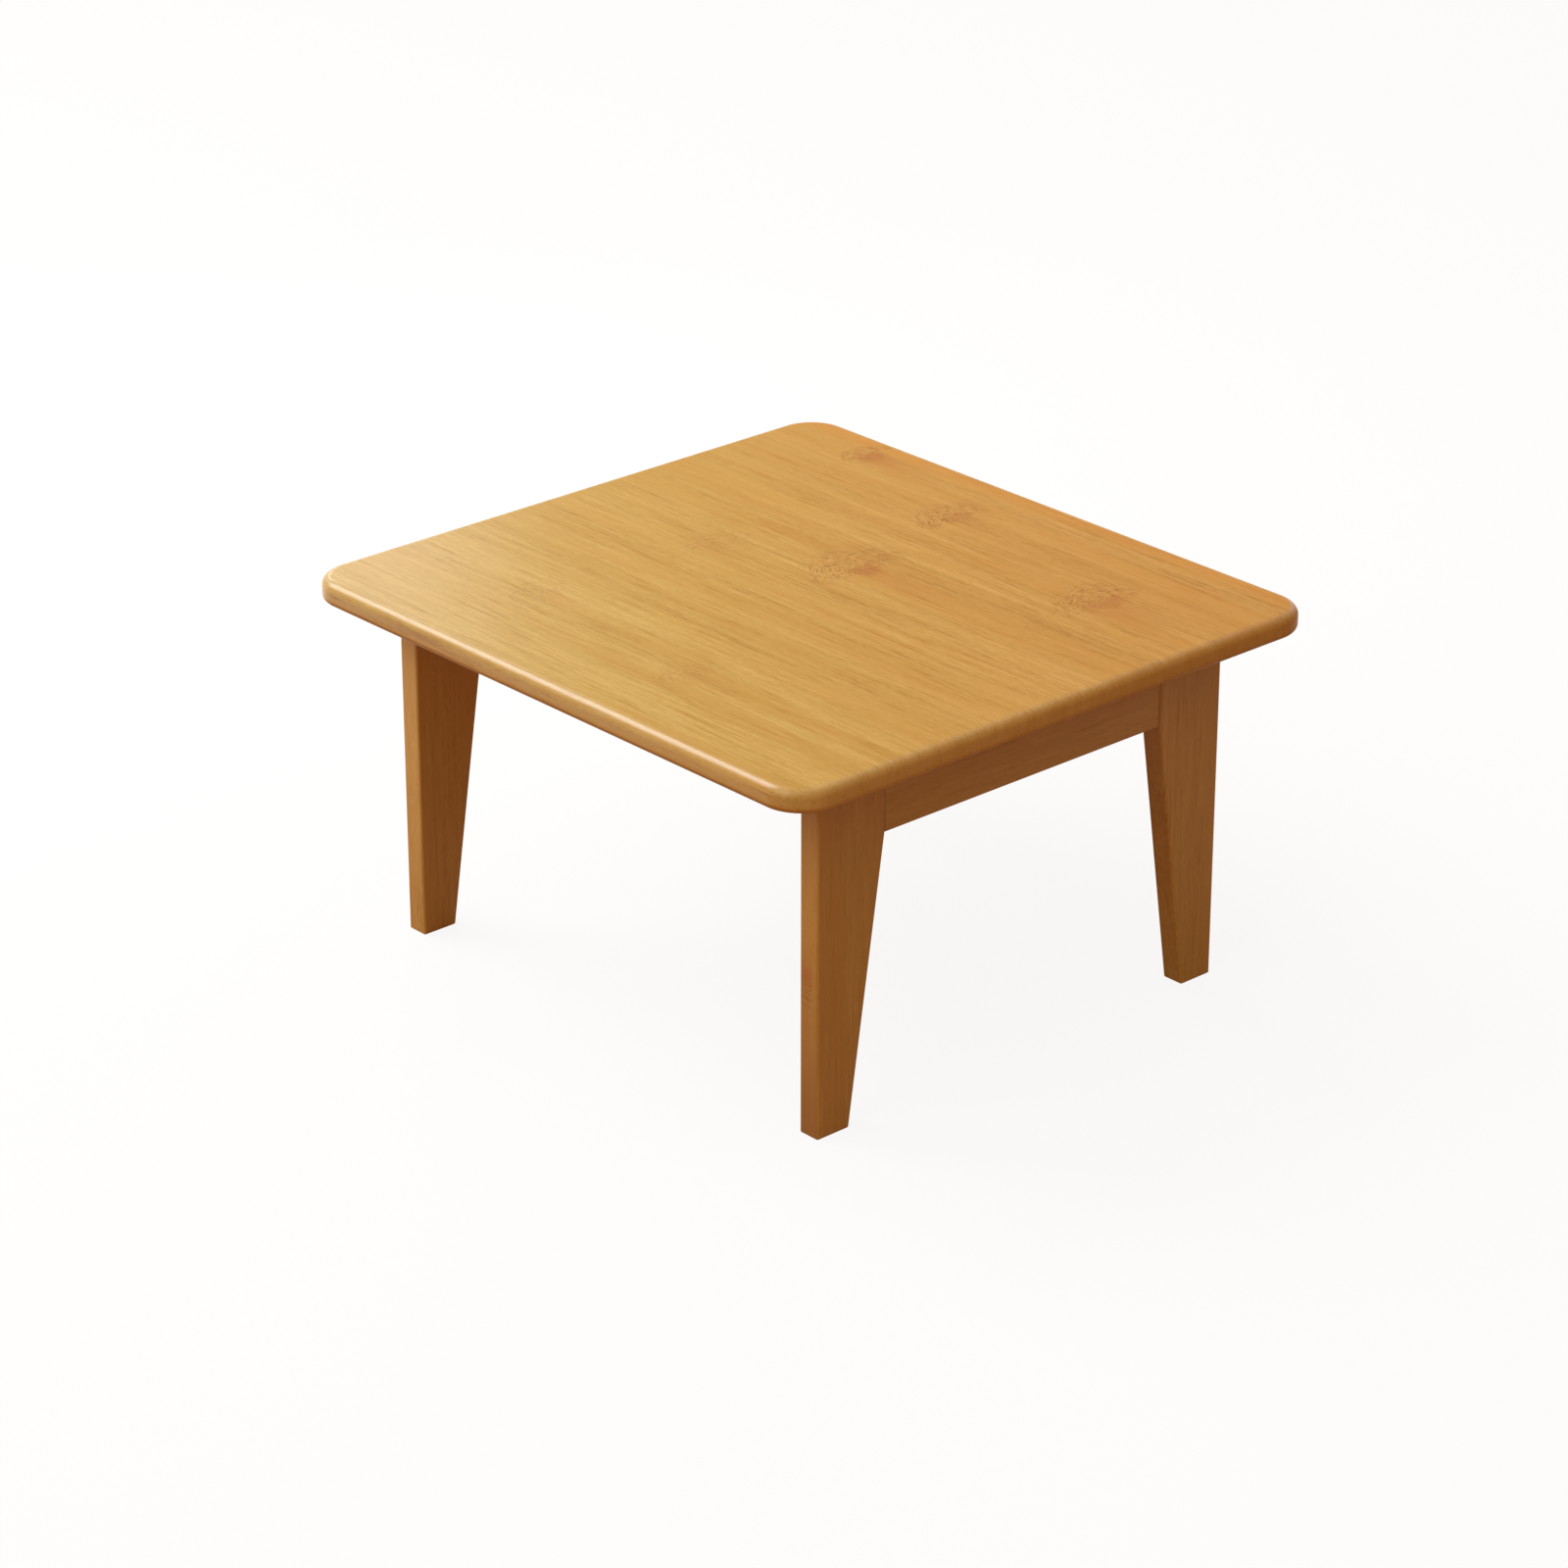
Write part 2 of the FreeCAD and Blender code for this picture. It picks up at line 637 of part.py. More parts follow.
def cross_corners(arm, side):
    """The twelve corners of a cross, round from its right arm."""
    left, back = "-" + side, "-" + arm
    return [
        (arm, side),
        (side, side),
        (side, arm),
        (left, arm),
        (left, side),
        (back, side),
        (back, left),
        (left, left),
        (left, back),
        (side, back),
        (side, left),
        (arm, left),
    ]


def countersunk_profile(length, shoulder):
    return [
        ("0", "0"),
        ("screw_head_radius", "0"),
        ("screw_radius", "screw_head_height"),
        ("screw_radius", shoulder),
        ("0", length),
    ]


def group(label, screw, spots, turn):
    """Copies of one screw or dowel, each put at a spot, as one node."""
    solids = []
    for spot in spots:
        copy = screw.copy()
        copy.Placement = FreeCAD.Placement(FreeCAD.Vector(*spot), turn).multiply(copy.Placement)
        solids.append(copy)
    feature = doc.addObject("Part::Feature", label)
    feature.Label = label
    feature.Shape = Part.makeCompound(solids)
    return keep(feature)


def every_sign(x, y, z):
    """A spot and its mirror images in the other three quarters."""
    return [(i * x, j * y, z) for i in (-1, 1) for j in (-1, 1)]


UPRIGHT = FreeCAD.Rotation()
INTO_FRONT_LEG = FreeCAD.Rotation(FreeCAD.Vector(1, 0, 0), 90)
ALONG_X = FreeCAD.Rotation(FreeCAD.Vector(0, 1, 0), 90)


def make_screws():
    leaf_screw = turned_screw("leaf_screw", countersunk_profile("leaf_screw_length", "leaf_screw_shoulder"))
    batten_screw = turned_screw(
        "batten_screw", countersunk_profile("batten_screw_length", "batten_screw_shoulder")
    )
    catch_screw = turned_screw(
        "catch_screw",
        [
            ("0", "0"),
            ("pan_head_crown", "0"),
            ("pan_head_radius", "pan_head_shoulder"),
            ("pan_head_radius", "pan_head_height"),
            ("screw_radius", "pan_head_height"),
            ("screw_radius", "catch_screw_shoulder"),
            ("0", "catch_screw_length"),
        ],
    )

    leaf_face_z = size("axis_z") + size("leaf_face")
    top_spots = (
        every_sign(size("outer_leaf_screw_x"), size("outer_leaf_screw_y"), leaf_face_z)
        + every_sign(size("hinge_x"), size("middle_leaf_screw_y"), leaf_face_z)
        + every_sign(size("inner_leaf_screw_x"), size("outer_leaf_screw_y"), leaf_face_z)
    )
    group("top_leaf_screws", leaf_screw, top_spots, UPRIGHT)

    leg_face_y = -size("axis_y") - size("leaf_face")
    leg_spots = []
    for sign in (-1, 1):
        leg_spots += [
            (sign * size("outer_leaf_screw_x"), leg_face_y, size("leg_screw_high")),
            (sign * size("hinge_x"), leg_face_y, size("leg_screw_low")),
            (sign * size("inner_leaf_screw_x"), leg_face_y, size("leg_screw_high")),
        ]
    front = group("front_leg_leaf_screws", leaf_screw, leg_spots, INTO_FRONT_LEG)
    mirrored(front, "rear_leg_leaf_screws", ACROSS_Y)

    batten_face_z = size("underside") - size("batten_thickness")
    batten_spots = every_sign(size("inner_batten_screw"), size("batten_offset"), batten_face_z) + every_sign(
        size("outer_batten_screw"), size("batten_offset"), batten_face_z
    )
    group("batten_screws", batten_screw, batten_spots, UPRIGHT)

    pan_top_z = size("underside") - size("catch_thickness") - size("pan_head_height")
    catch_spots = every_sign(size("catch_screw_spread"), size("catch_screw_y"), pan_top_z)
    group("catch_screws", catch_screw, catch_spots, UPRIGHT)


# Two bamboo dowels join each end of an apron to its leg.
def make_dowels():
    body = new_body("dowel")
    round_end = new_sketch(body, "XY_Plane")
    circle(round_end, "0", "0", "dowel_radius")
    pad(body, round_end, "dowel_length", middle=True)
    half = size("dowel_length") / 2
    dress(
        body,
        "Chamfer",
        lambda edge: at_level(edge, "z", half) or at_level(edge, "z", -half),
        "dowel_chamfer",
    )
    middle_y = -size("apron_outer_y") + size("dowel_in_apron")
    spots = [
        (sign * size("leg_inner_x"), middle_y, size(height))
        for sign in (-1, 1)
        for height in ("lower_dowel_z", "upper_dowel_z")
    ]
    front = group("front_frame_dowels", body.Shape, spots, ALONG_X)
    mirrored(front, "rear_frame_dowels", ACROSS_Y)


make_top()
make_leg()
make_apron()
make_batten()
make_top_leaf()
make_leg_leaf()
make_pin()
make_catch()
make_screws()
make_dowels()
doc.recompute()

for thing in doc.Objects:
    if {"Invalid", "Error"} & set(thing.State):
        raise RuntimeError("%s failed to build" % thing.Label)
for node in nodes:
    if node.Shape.isNull() or not node.Shape.isValid():
        raise RuntimeError("%s has no valid shape" % node.Label)

os.makedirs("parts", exist_ok=True)
for node in nodes:
    node.Shape.exportStep(os.path.join("parts", node.Label + ".step"))
    box = node.Shape.BoundBox
    print("%-26s %2d solids %9.0f mm3  z %.1f to %.1f" % (
        node.Label, len(node.Shape.Solids), node.Shape.Volume, box.ZMin, box.ZMax))
print(len(nodes), "nodes")
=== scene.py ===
# %% [markdown]
# A low bamboo table with two folding leg frames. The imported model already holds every
# piece at its real size, so this script only dresses it: a camera, soft light, procedural
# finishes, and smoother surfaces where the eye can come close. Lengths are in metres.

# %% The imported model
import math

import bpy
import numpy as np
from mathutils import Matrix, Vector


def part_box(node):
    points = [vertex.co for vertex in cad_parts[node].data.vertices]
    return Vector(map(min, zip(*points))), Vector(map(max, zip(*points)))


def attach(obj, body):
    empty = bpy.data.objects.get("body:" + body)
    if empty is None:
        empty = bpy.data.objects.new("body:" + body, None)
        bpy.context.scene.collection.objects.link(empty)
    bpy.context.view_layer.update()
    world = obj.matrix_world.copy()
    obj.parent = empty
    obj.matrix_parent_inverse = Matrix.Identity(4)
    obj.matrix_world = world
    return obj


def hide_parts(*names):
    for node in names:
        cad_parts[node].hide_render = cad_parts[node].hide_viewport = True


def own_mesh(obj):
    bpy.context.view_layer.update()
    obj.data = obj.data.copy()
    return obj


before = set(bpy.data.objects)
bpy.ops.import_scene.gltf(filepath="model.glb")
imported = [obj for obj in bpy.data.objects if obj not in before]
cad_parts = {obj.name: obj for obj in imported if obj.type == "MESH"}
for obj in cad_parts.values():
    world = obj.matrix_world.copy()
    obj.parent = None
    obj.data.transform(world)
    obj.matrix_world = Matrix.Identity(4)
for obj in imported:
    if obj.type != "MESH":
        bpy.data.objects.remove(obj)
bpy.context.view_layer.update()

# %% [markdown]
# The photograph was taken with a long lens from a front corner, about 24 degrees above the
# horizon. A camera could be aimed with a constraint, but here its three axes are worked out
# from two angles, so that the picture's frame follows from four plain numbers.

# %% Camera
VIEW_YAW = math.radians(48.0)
VIEW_PITCH = math.radians(24.27)
VIEW_DISTANCE = 4.183
VIEW_LENS = 116.8
SENSOR_WIDTH = 36.0
AIM = Vector((0, 0, 0.1625))
AIM_RIGHT = -0.0183
AIM_UP = -0.0097


def make_camera():
    """The camera stands back from the aim along the view, shifted a little sideways and down."""
    level = Vector((math.cos(VIEW_YAW), math.sin(VIEW_YAW), 0))
    forward = level * math.cos(VIEW_PITCH) - Vector((0, 0, math.sin(VIEW_PITCH)))
    right = forward.cross(Vector((0, 0, 1))).normalized()
    up = right.cross(forward)
    data = bpy.data.cameras.new("photo_camera")
    data.lens = VIEW_LENS
    data.sensor_width = SENSOR_WIDTH
    camera = bpy.data.objects.new("photo_camera", data)
    place = AIM - forward * VIEW_DISTANCE + right * AIM_RIGHT + up * AIM_UP
    turn = Matrix((right, up, -forward)).transposed().to_4x4()
    camera.matrix_world = Matrix.Translation(place) @ turn
    bpy.context.scene.collection.objects.link(camera)
    bpy.context.scene.camera = camera
    return camera


camera = make_camera()
print("camera at", tuple(round(v, 3) for v in camera.location))

# %% [markdown]
# Every finish below is a small network of shader nodes. These helpers add a node and feed its
# sockets with a number, a colour or another socket, so that a network reads like a formula.

# %% Helpers for shader nodes
def feed(tree, sockets, values):
    """Puts plain values into sockets by name or number, or links other sockets to them."""
    for key, value in values.items():
        if isinstance(value, bpy.types.NodeSocket):
            tree.links.new(value, sockets[key])
        else:
            sockets[key].default_value = value


def add(tree, kind, inputs=None, **settings):
    """A new node with its settings, and with its inputs fed."""
    node = tree.nodes.new("ShaderNode" + kind)
    for name, value in settings.items():
        setattr(node, name, value)
    feed(tree, node.inputs, inputs or {})
    return node


def calc(tree, operation, *values):
    """One step of arithmetic on numbers."""
    return add(tree, "Math", dict(enumerate(values)), operation=operation).outputs[0]


def vector_calc(tree, operation, first, second):
    """One step of arithmetic on vectors, part by part."""
    return add(tree, "VectorMath", {0: first, 1: second}, operation=operation).outputs[0]


def ramp(tree, value, low, high, start=0.0, end=1.0):
    """A smooth step: start below low, end above high."""
    inputs = {"Value": value, "From Min": low, "From Max": high, "To Min": start, "To Max": end}
    return add(tree, "MapRange", inputs, interpolation_type="SMOOTHSTEP").outputs["Result"]


def blend_colour(tree, share, first, second, mode="MIX"):
    """Two colours mixed by a share."""
    inputs = {0: share, 6: first, 7: second}
    return add(tree, "Mix", inputs, data_type="RGBA", blend_type=mode).outputs[2]


def noise(tree, vector, scales, detail=2.0, roughness=0.5):
    """Smooth noise from 0 to 1, with a scale for each direction."""
    place = vector_calc(tree, "MULTIPLY", vector, scales)
    inputs = {"Vector": place, "Scale": 1.0, "Detail": detail, "Roughness": roughness}
    return add(tree, "TexNoise", inputs).outputs["Fac"]


def noted(tree, label):
    """A number that the points of a surface carry under a name."""
    return add(tree, "Attribute", attribute_name=label).outputs["Fac"]


def colour(red, green, blue):
    """A screen colour, 0 to 255, as the linear numbers that shaders use."""
    shares = np.array([red, green, blue]) / 255
    linear = np.where(shares > 0.04045, ((shares + 0.055) / 1.055) ** 2.4, shares / 12.92)
    return (*(float(v) for v in linear), 1.0)


def new_group(name, inputs, outputs):
    """A shader node group, its input sockets inside, and its output sockets inside."""
    group = bpy.data.node_groups.new(name, "ShaderNodeTree")
    for label, kind, value in inputs:
        socket_type = "NodeSocket" + kind
        socket = group.interface.new_socket(label, in_out="INPUT", socket_type=socket_type)
        socket.default_value = value
    for label, kind in outputs:
        group.interface.new_socket(label, in_out="OUTPUT", socket_type="NodeSocket" + kind)
    inside = group.nodes.new("NodeGroupInput").outputs
    outside = group.nodes.new("NodeGroupOutput").inputs
    return group, inside, outside


def use_group(tree, group, inputs):
    """The outputs of a placed copy of a group."""
    return add(tree, "Group", inputs, node_tree=group).outputs


def new_material(name):
    """A material with one Principled shader, as (material, tree, shader)."""
    material = bpy.data.materials.new(name)
    material.use_nodes = True
    tree = material.node_tree
    return material, tree, tree.nodes["Principled BSDF"]


print("shader helpers ready")

# %% [markdown]
# The studio is a white sweep with a soft key lamp at the left, a window behind the table whose
# light runs along the rounded edge as a pale line, a smaller low pane that lays a sheen on the
# left corner, and a dim warm fill that grows towards the ceiling. The window and the pane are
# square panels at a real distance, so their light falls off a little across the table. The
# floor shows as white to the eye, but for bounced light it is a plain wood brown, as in a
# room, so that the shaded sides of the legs stay deep and warm. A share of the lamps' light
# stays in the white, and that share keeps the table's shadow.

# %% World, floor and lamps
WHITE = (1.0, 1.0, 1.0, 1.0)
FILL_COLOUR = (1.0, 0.60, 0.40, 1.0)
FILL_STRENGTH = 0.28
CEILING_COLOUR = (1.0, 0.80, 0.62, 1.0)
CEILING_STRENGTH = 0.56
FLOOR_BOUNCE = (0.34, 0.185, 0.10, 1.0)
FLOOR_WHITE_SHARE = 0.89
FLOOR_REACH = 30.0
FLOOR_DROP = 0.0004
SOLE_GAP = 0.001
KEY_COLOUR = (1.0, 0.985, 0.95)
KEY_FROM = Vector((-0.76, 0.0, 0.65))
KEY_STRENGTH = 0.88
KEY_SPREAD = math.radians(46)
DAYLIGHT = (0.94, 0.98, 1.0)
WINDOW_FROM = Vector((-0.26, 0.67, 0.70))
WINDOW_AIM = Vector((0, 0, 0.325))
WINDOW_DISTANCE = 4.0
WINDOW_SIZE = 2.5
WINDOW_STRENGTH = 1.91
PANE_FROM = Vector((0.524, 0.765, 0.374))
PANE_AIM = Vector((-0.27, 0.29, 0.325))
PANE_DISTANCE = 1.6
PANE_SIZE = 0.46
PANE_STRENGTH = 0.52


def seen_directly(tree):
    """Two numbers: 1 for rays from the camera or through glass, and 1 for those or a mirror's."""
    path = add(tree, "LightPath").outputs
    straight = calc(tree, "MAXIMUM", path["Is Camera Ray"], path["Is Transmission Ray"])
    return straight, calc(tree, "MAXIMUM", straight, path["Is Glossy Ray"])


def make_world():
    """Warm and dim as a light, more so towards the ceiling, and white as a background."""
    world = bpy.data.worlds.new("studio")
    world.use_nodes = True
    tree = world.node_tree
    tree.nodes.clear()
    _, shown = seen_directly(tree)
    direction = add(tree, "TexCoord").outputs["Generated"]
    height = add(tree, "SeparateXYZ", {"Vector": direction}).outputs["Z"]
    upward = calc(tree, "MAXIMUM", height, 0.0)
    tint = blend_colour(tree, upward, FILL_COLOUR, CEILING_COLOUR)
    tint = blend_colour(tree, shown, tint, WHITE)
    fill = calc(tree, "MULTIPLY_ADD", upward, CEILING_STRENGTH - FILL_STRENGTH, FILL_STRENGTH)
    strength = calc(tree, "MULTIPLY_ADD", shown, calc(tree, "SUBTRACT", 1.0, fill), fill)
    light = add(tree, "Background", {"Color": tint, "Strength": strength})
    add(tree, "OutputWorld", {"Surface": light.outputs[0]})
    bpy.context.scene.world = world


def make_floor():
    """A wide plane, white with a soft shadow. It is clear from below, and to the soles on it."""
    mesh = bpy.data.meshes.new("floor")
    ring = ((-1, -1), (1, -1), (1, 1), (-1, 1))
    corners = [(i * FLOOR_REACH, j * FLOOR_REACH, -FLOOR_DROP) for i, j in ring]
    mesh.from_pydata(corners, [], [(0, 1, 2, 3)])
    floor = bpy.data.objects.new("floor", mesh)
    bpy.context.scene.collection.objects.link(floor)
    material, tree, _ = new_material("floor_sweep")
    tree.nodes.clear()
    straight, shown = seen_directly(tree)
    paint = blend_colour(tree, shown, FLOOR_BOUNCE, WHITE)
    lit = add(tree, "BsdfDiffuse", {"Color": paint}).outputs[0]
    glow = add(tree, "Emission", {"Color": WHITE, "Strength": 1.0}).outputs[0]
    share = calc(tree, "MULTIPLY", straight, FLOOR_WHITE_SHARE)
    above = add(tree, "MixShader", {0: share, 1: lit, 2: glow}).outputs[0]
    below = add(tree, "BsdfTransparent").outputs[0]
    back = add(tree, "NewGeometry").outputs["Backfacing"]
    near = calc(tree, "LESS_THAN", add(tree, "LightPath").outputs["Ray Length"], SOLE_GAP)
    clear = calc(tree, "MAXIMUM", back, near)
    both = add(tree, "MixShader", {0: clear, 1: above, 2: below}).outputs[0]
    add(tree, "OutputMaterial", {"Surface": both})
    mesh.materials.append(material)


def make_lamp(name, kind, colour_of_light, energy, towards):
    """A lamp that is turned so that its light comes from one direction."""
    data = bpy.data.lights.new(name, kind)
    data.energy = energy
    data.color = colour_of_light
    lamp = bpy.data.objects.new(name, data)
    lamp.rotation_euler = towards.to_track_quat("Z", "Y").to_euler()
    lamp.visible_camera = False
    bpy.context.scene.collection.objects.link(lamp)
    return lamp


def make_panel(name, strength, towards, aim, distance, size):
    """A square lamp. A light of strength at the aim takes pi times distance squared watts."""
    lamp = make_lamp(name, "AREA", DAYLIGHT, strength * math.pi * distance**2, towards)
    lamp.data.size = size
    lamp.location = aim + towards.normalized() * distance


make_world()
make_floor()
key_lamp = make_lamp("key_lamp", "SUN", KEY_COLOUR, KEY_STRENGTH, KEY_FROM)
key_lamp.data.angle = KEY_SPREAD
make_panel("window_lamp", WINDOW_STRENGTH, WINDOW_FROM, WINDOW_AIM, WINDOW_DISTANCE, WINDOW_SIZE)
make_panel("pane_lamp", PANE_STRENGTH, PANE_FROM, PANE_AIM, PANE_DISTANCE, PANE_SIZE)
bpy.context.scene.view_settings.view_transform = "Standard"
print("world, floor and 3 lamps made")

# %% [markdown]
# Laminated bamboo is glued up from strips about 20 mm wide. Each strip keeps the tone of its
# own stalk, and fine fibres run along it. A picture of wood could be wrapped on, but a formula
# in three directions fits rounded edges and end grain without a seam: the strip's number
# picks a tone, and noise that is stretched along the fibres draws the streaks. In this group
# the fibres run along Y, X goes across the strips and Z through the plies.

# %% Shader group for laminated bamboo
STRIP_WIDTH = 0.0212
PLY_THICKNESS = 0.00683
GRAIN_SCALE = (1300.0, 130.0, 1100.0)
FIBRE_SCALE = (780.0, 22.0, 460.0)
STREAK_SCALE = (300.0, 8.5, 60.0)
BAND_SCALE = (72.0, 2.0, 26.0)
CLOUD_SCALE = (11.0, 5.0, 11.0)
WARMTH_SCALE = (50.0, 2.0, 22.0)
TONE_SHARES = (0.18, 0.42, 0.95, 0.95, 0.90, 0.22)
PORE_COLOUR = (0.40, 0.17, 0.0, 1.0)
PORE_DEPTH = 0.34
AMBER_DRIFT = 0.5
FIBRE_RISE, PORE_DROP = 0.5, 0.6

# Smooth steps: where each starts and ends, and its values there if they aren't 0 and 1.
PALE_TO_HONEY = (-0.45, 0.05)
HONEY_TO_CARAMEL = (0.0, 0.55)
TO_AMBER = (0.36, 0.74, 0.0, 0.55)
GLUE_LINE = (0.48, 0.5, 0.0, 0.07)
PORE_IN_FIBRES = (0.56, 0.72)
PORE_IN_STREAKS = (0.42, 0.62)


def make_bamboo_group():
    """Tone of a strip plus bands, streaks and fibres, turned into a colour and a height."""
    group, inside, outside = new_group(
        "laminated_bamboo",
        [
            ("Vector", "Vector", (0, 0, 0)),
            *((tone, "Color", WHITE) for tone in ("Pale", "Honey", "Caramel", "Amber")),
            ("Drift", "Float", 0.0),
            ("Contrast", "Float", 1.0),
        ],
        [("Color", "Color"), ("Streaks", "Float"), ("Height", "Float")],
    )
    vector = inside["Vector"]
    parts = add(group, "SeparateXYZ", {"Vector": vector}).outputs
    across = calc(group, "DIVIDE", parts["X"], STRIP_WIDTH)
    strip = calc(group, "FLOOR", across)
    ply = calc(group, "FLOOR", calc(group, "DIVIDE", parts["Z"], PLY_THICKNESS))
    place = add(group, "CombineXYZ", {"X": strip, "Y": ply}).outputs[0]
    strip_tone = add(group, "TexWhiteNoise", {"Vector": place}, noise_dimensions="3D")
    grains = noise(group, vector, GRAIN_SCALE, detail=1.0)
    fibres = noise(group, vector, FIBRE_SCALE)
    streaks = noise(group, vector, STREAK_SCALE, detail=3.0, roughness=0.6)
    bands = noise(group, vector, BAND_SCALE)
    clouds = noise(group, vector, CLOUD_SCALE)
    warmth = noise(group, vector, WARMTH_SCALE, detail=3.0)

    tone = inside["Drift"]
    sources = (strip_tone.outputs["Value"], bands, streaks, fibres, grains, clouds)
    for source, share in zip(sources, TONE_SHARES):
        centred = calc(group, "SUBTRACT", source, 0.5)
        weight = calc(group, "MULTIPLY", inside["Contrast"], share)
        tone = calc(group, "MULTIPLY_ADD", centred, weight, tone)
    base = blend_colour(group, ramp(group, tone, *PALE_TO_HONEY), inside["Pale"], inside["Honey"])
    base = blend_colour(group, ramp(group, tone, *HONEY_TO_CARAMEL), base, inside["Caramel"])
    warmth = calc(group, "MULTIPLY_ADD", inside["Drift"], AMBER_DRIFT, warmth)
    base = blend_colour(group, ramp(group, warmth, *TO_AMBER), base, inside["Amber"])

    edge = calc(group, "ABSOLUTE", calc(group, "SUBTRACT", calc(group, "FRACT", across), 0.5))
    in_fibres = ramp(group, fibres, *PORE_IN_FIBRES)
    pores = calc(group, "MULTIPLY", in_fibres, ramp(group, streaks, *PORE_IN_STREAKS))
    shade = calc(group, "MULTIPLY_ADD", pores, PORE_DEPTH, ramp(group, edge, *GLUE_LINE))
    shade = calc(group, "MULTIPLY", shade, inside["Contrast"])
    base = blend_colour(group, shade, base, PORE_COLOUR)
    rise = calc(group, "MULTIPLY", fibres, FIBRE_RISE)
    height = calc(group, "SUBTRACT", rise, calc(group, "MULTIPLY", pores, PORE_DROP))
    feed(group, outside, {"Color": base, "Streaks": pores, "Height": height})
    return group


bamboo_group = make_bamboo_group()
print("group", bamboo_group.name, "with", len(bamboo_group.nodes), "nodes")

# %% [markdown]
# A bamboo stalk has a knuckle every few hand widths. Where a strip crosses one, the fibres
# swirl: a dark core with arcs of short dashes ahead of it, like the whorl of a fingerprint,
# and a warm tail that fades along the strip. Each visible knuckle of the top is placed one by
# one with this group, because there are only a few.

# %% Shader group for one knuckle mark
MARK_CORE = 0.011
MARK_BOW = 0.006
MARK_PLY = 0.0068
DASHES_PER_METRE = 520.0
DASHES_PER_TURN = 4.2
DASH_WANDER = 0.006
WANDER_SCALE = (140.0, 62.0, 140.0)
WANDER_ALONG = 0.020
WANDER_ACROSS = 0.9
WHORL_SEED = 61.0
FAN_FADES_FROM = 0.55

# Smooth steps again, across, along and through the strip, and in the noise of the whorl.
SIDE_FADE = (0.6, 1.3, 1.0, 0.0)
PLY_FADE = (MARK_PLY, MARK_PLY * 1.05, 1.0, 0.0)
CORE_FADE = (MARK_CORE * 0.2, MARK_CORE * 1.3, 1.0, 0.0)
CORE_BREAKS = (0.30, 0.60, 0.35, 1.0)
AHEAD_FADE = (-0.012, 0.008, 1.0, 0.0)
DASH_EDGE = (0.47, 0.63)


def make_mark_group():
    """Three masks round a place: dashes ahead of it, a dark core, and a tail behind it.

    Along the strip the distance is bent by the square of the distance across it, and both
    wander with a noise. The tail falls smoothly from 1 at the core to 0 at its length. The
    dashes are noise over the distance from the place and the angle round it, which draws arcs.
    """
    group, inside, outside = new_group(
        "knuckle_mark",
        [
            ("Vector", "Vector", (0, 0, 0)),
            ("Place", "Vector", (0, 0, 0)),
            ("Half Width", "Float", 0.011),
            ("Fan", "Float", 0.04),
            ("Tail", "Float", 0.05),
        ],
        [("Tail", "Float"), ("Core", "Float"), ("Dashes", "Float")],
    )
    offset = vector_calc(group, "SUBTRACT", inside["Place"], inside["Vector"])
    parts = add(group, "SeparateXYZ", {"Vector": offset}).outputs
    wander = calc(group, "SUBTRACT", noise(group, inside["Vector"], WANDER_SCALE), 0.5)
    across = calc(group, "DIVIDE", parts["X"], inside["Half Width"])
    across = calc(group, "MULTIPLY_ADD", wander, WANDER_ACROSS, across)
    bow = calc(group, "MULTIPLY", calc(group, "MULTIPLY", across, across), MARK_BOW)
    along = calc(group, "ADD", parts["Y"], bow)
    along = calc(group, "MULTIPLY_ADD", wander, WANDER_ALONG, along)
    sides = ramp(group, calc(group, "ABSOLUTE", across), *SIDE_FADE)
    ply = ramp(group, calc(group, "ABSOLUTE", parts["Z"]), *PLY_FADE)
    sides = calc(group, "MULTIPLY", sides, ply)

    start = ramp(group, along, -MARK_CORE, MARK_CORE)
    fade = ramp(group, calc(group, "DIVIDE", along, inside["Tail"]), 0.0, 1.0, 1.0, 0.0)
    tail = calc(group, "MULTIPLY", calc(group, "MULTIPLY", start, fade), sides)

    across_squared = calc(group, "MULTIPLY", parts["X"], parts["X"])
    distance = calc(group, "MULTIPLY_ADD", parts["Y"], parts["Y"], across_squared)
    distance = calc(group, "SQRT", distance)
    round_place = calc(group, "ARCTAN2", parts["X"], calc(group, "MULTIPLY", parts["Y"], -1.0))
    wavy = calc(group, "MULTIPLY_ADD", wander, DASH_WANDER, distance)
    whorl = add(group, "CombineXYZ", {"X": wavy, "Y": round_place, "Z": inside["Place"]}).outputs[0]
    whorl = noise(group, whorl, (DASHES_PER_METRE, DASHES_PER_TURN, WHORL_SEED))
    core = ramp(group, calc(group, "ABSOLUTE", along), *CORE_FADE)
    core = calc(group, "MULTIPLY", core, ramp(group, whorl, *CORE_BREAKS))
    core = calc(group, "MULTIPLY", core, sides)
    reach = calc(group, "DIVIDE", distance, inside["Fan"])
    reach = ramp(group, reach, FAN_FADES_FROM, 1.0, ply, 0.0)
    fan = calc(group, "MULTIPLY", reach, ramp(group, parts["Y"], *AHEAD_FADE))
    dashes = calc(group, "MULTIPLY", ramp(group, whorl, *DASH_EDGE), fan)
    feed(group, outside, {"Tail": tail, "Core": core, "Dashes": dashes})
    return group


mark_group = make_mark_group()
print("group", mark_group.name, "with", len(mark_group.nodes), "nodes")

# %% [markdown]
# A satin lacquer covers the wood. Where hands and shoes rub, at the rounded arrises, it is a
# little thinner and rougher. The wear reads an attribute that each wooden surface carries, so
# that it follows the piece when it folds.

# %% Shader group for rubbed arrises
WEAR_SCALE = (55.0, 55.0, 55.0)
WEAR_PATCHES = (0.40, 0.68)
WEAR_ON_ARRIS = (0.35, 1.0)


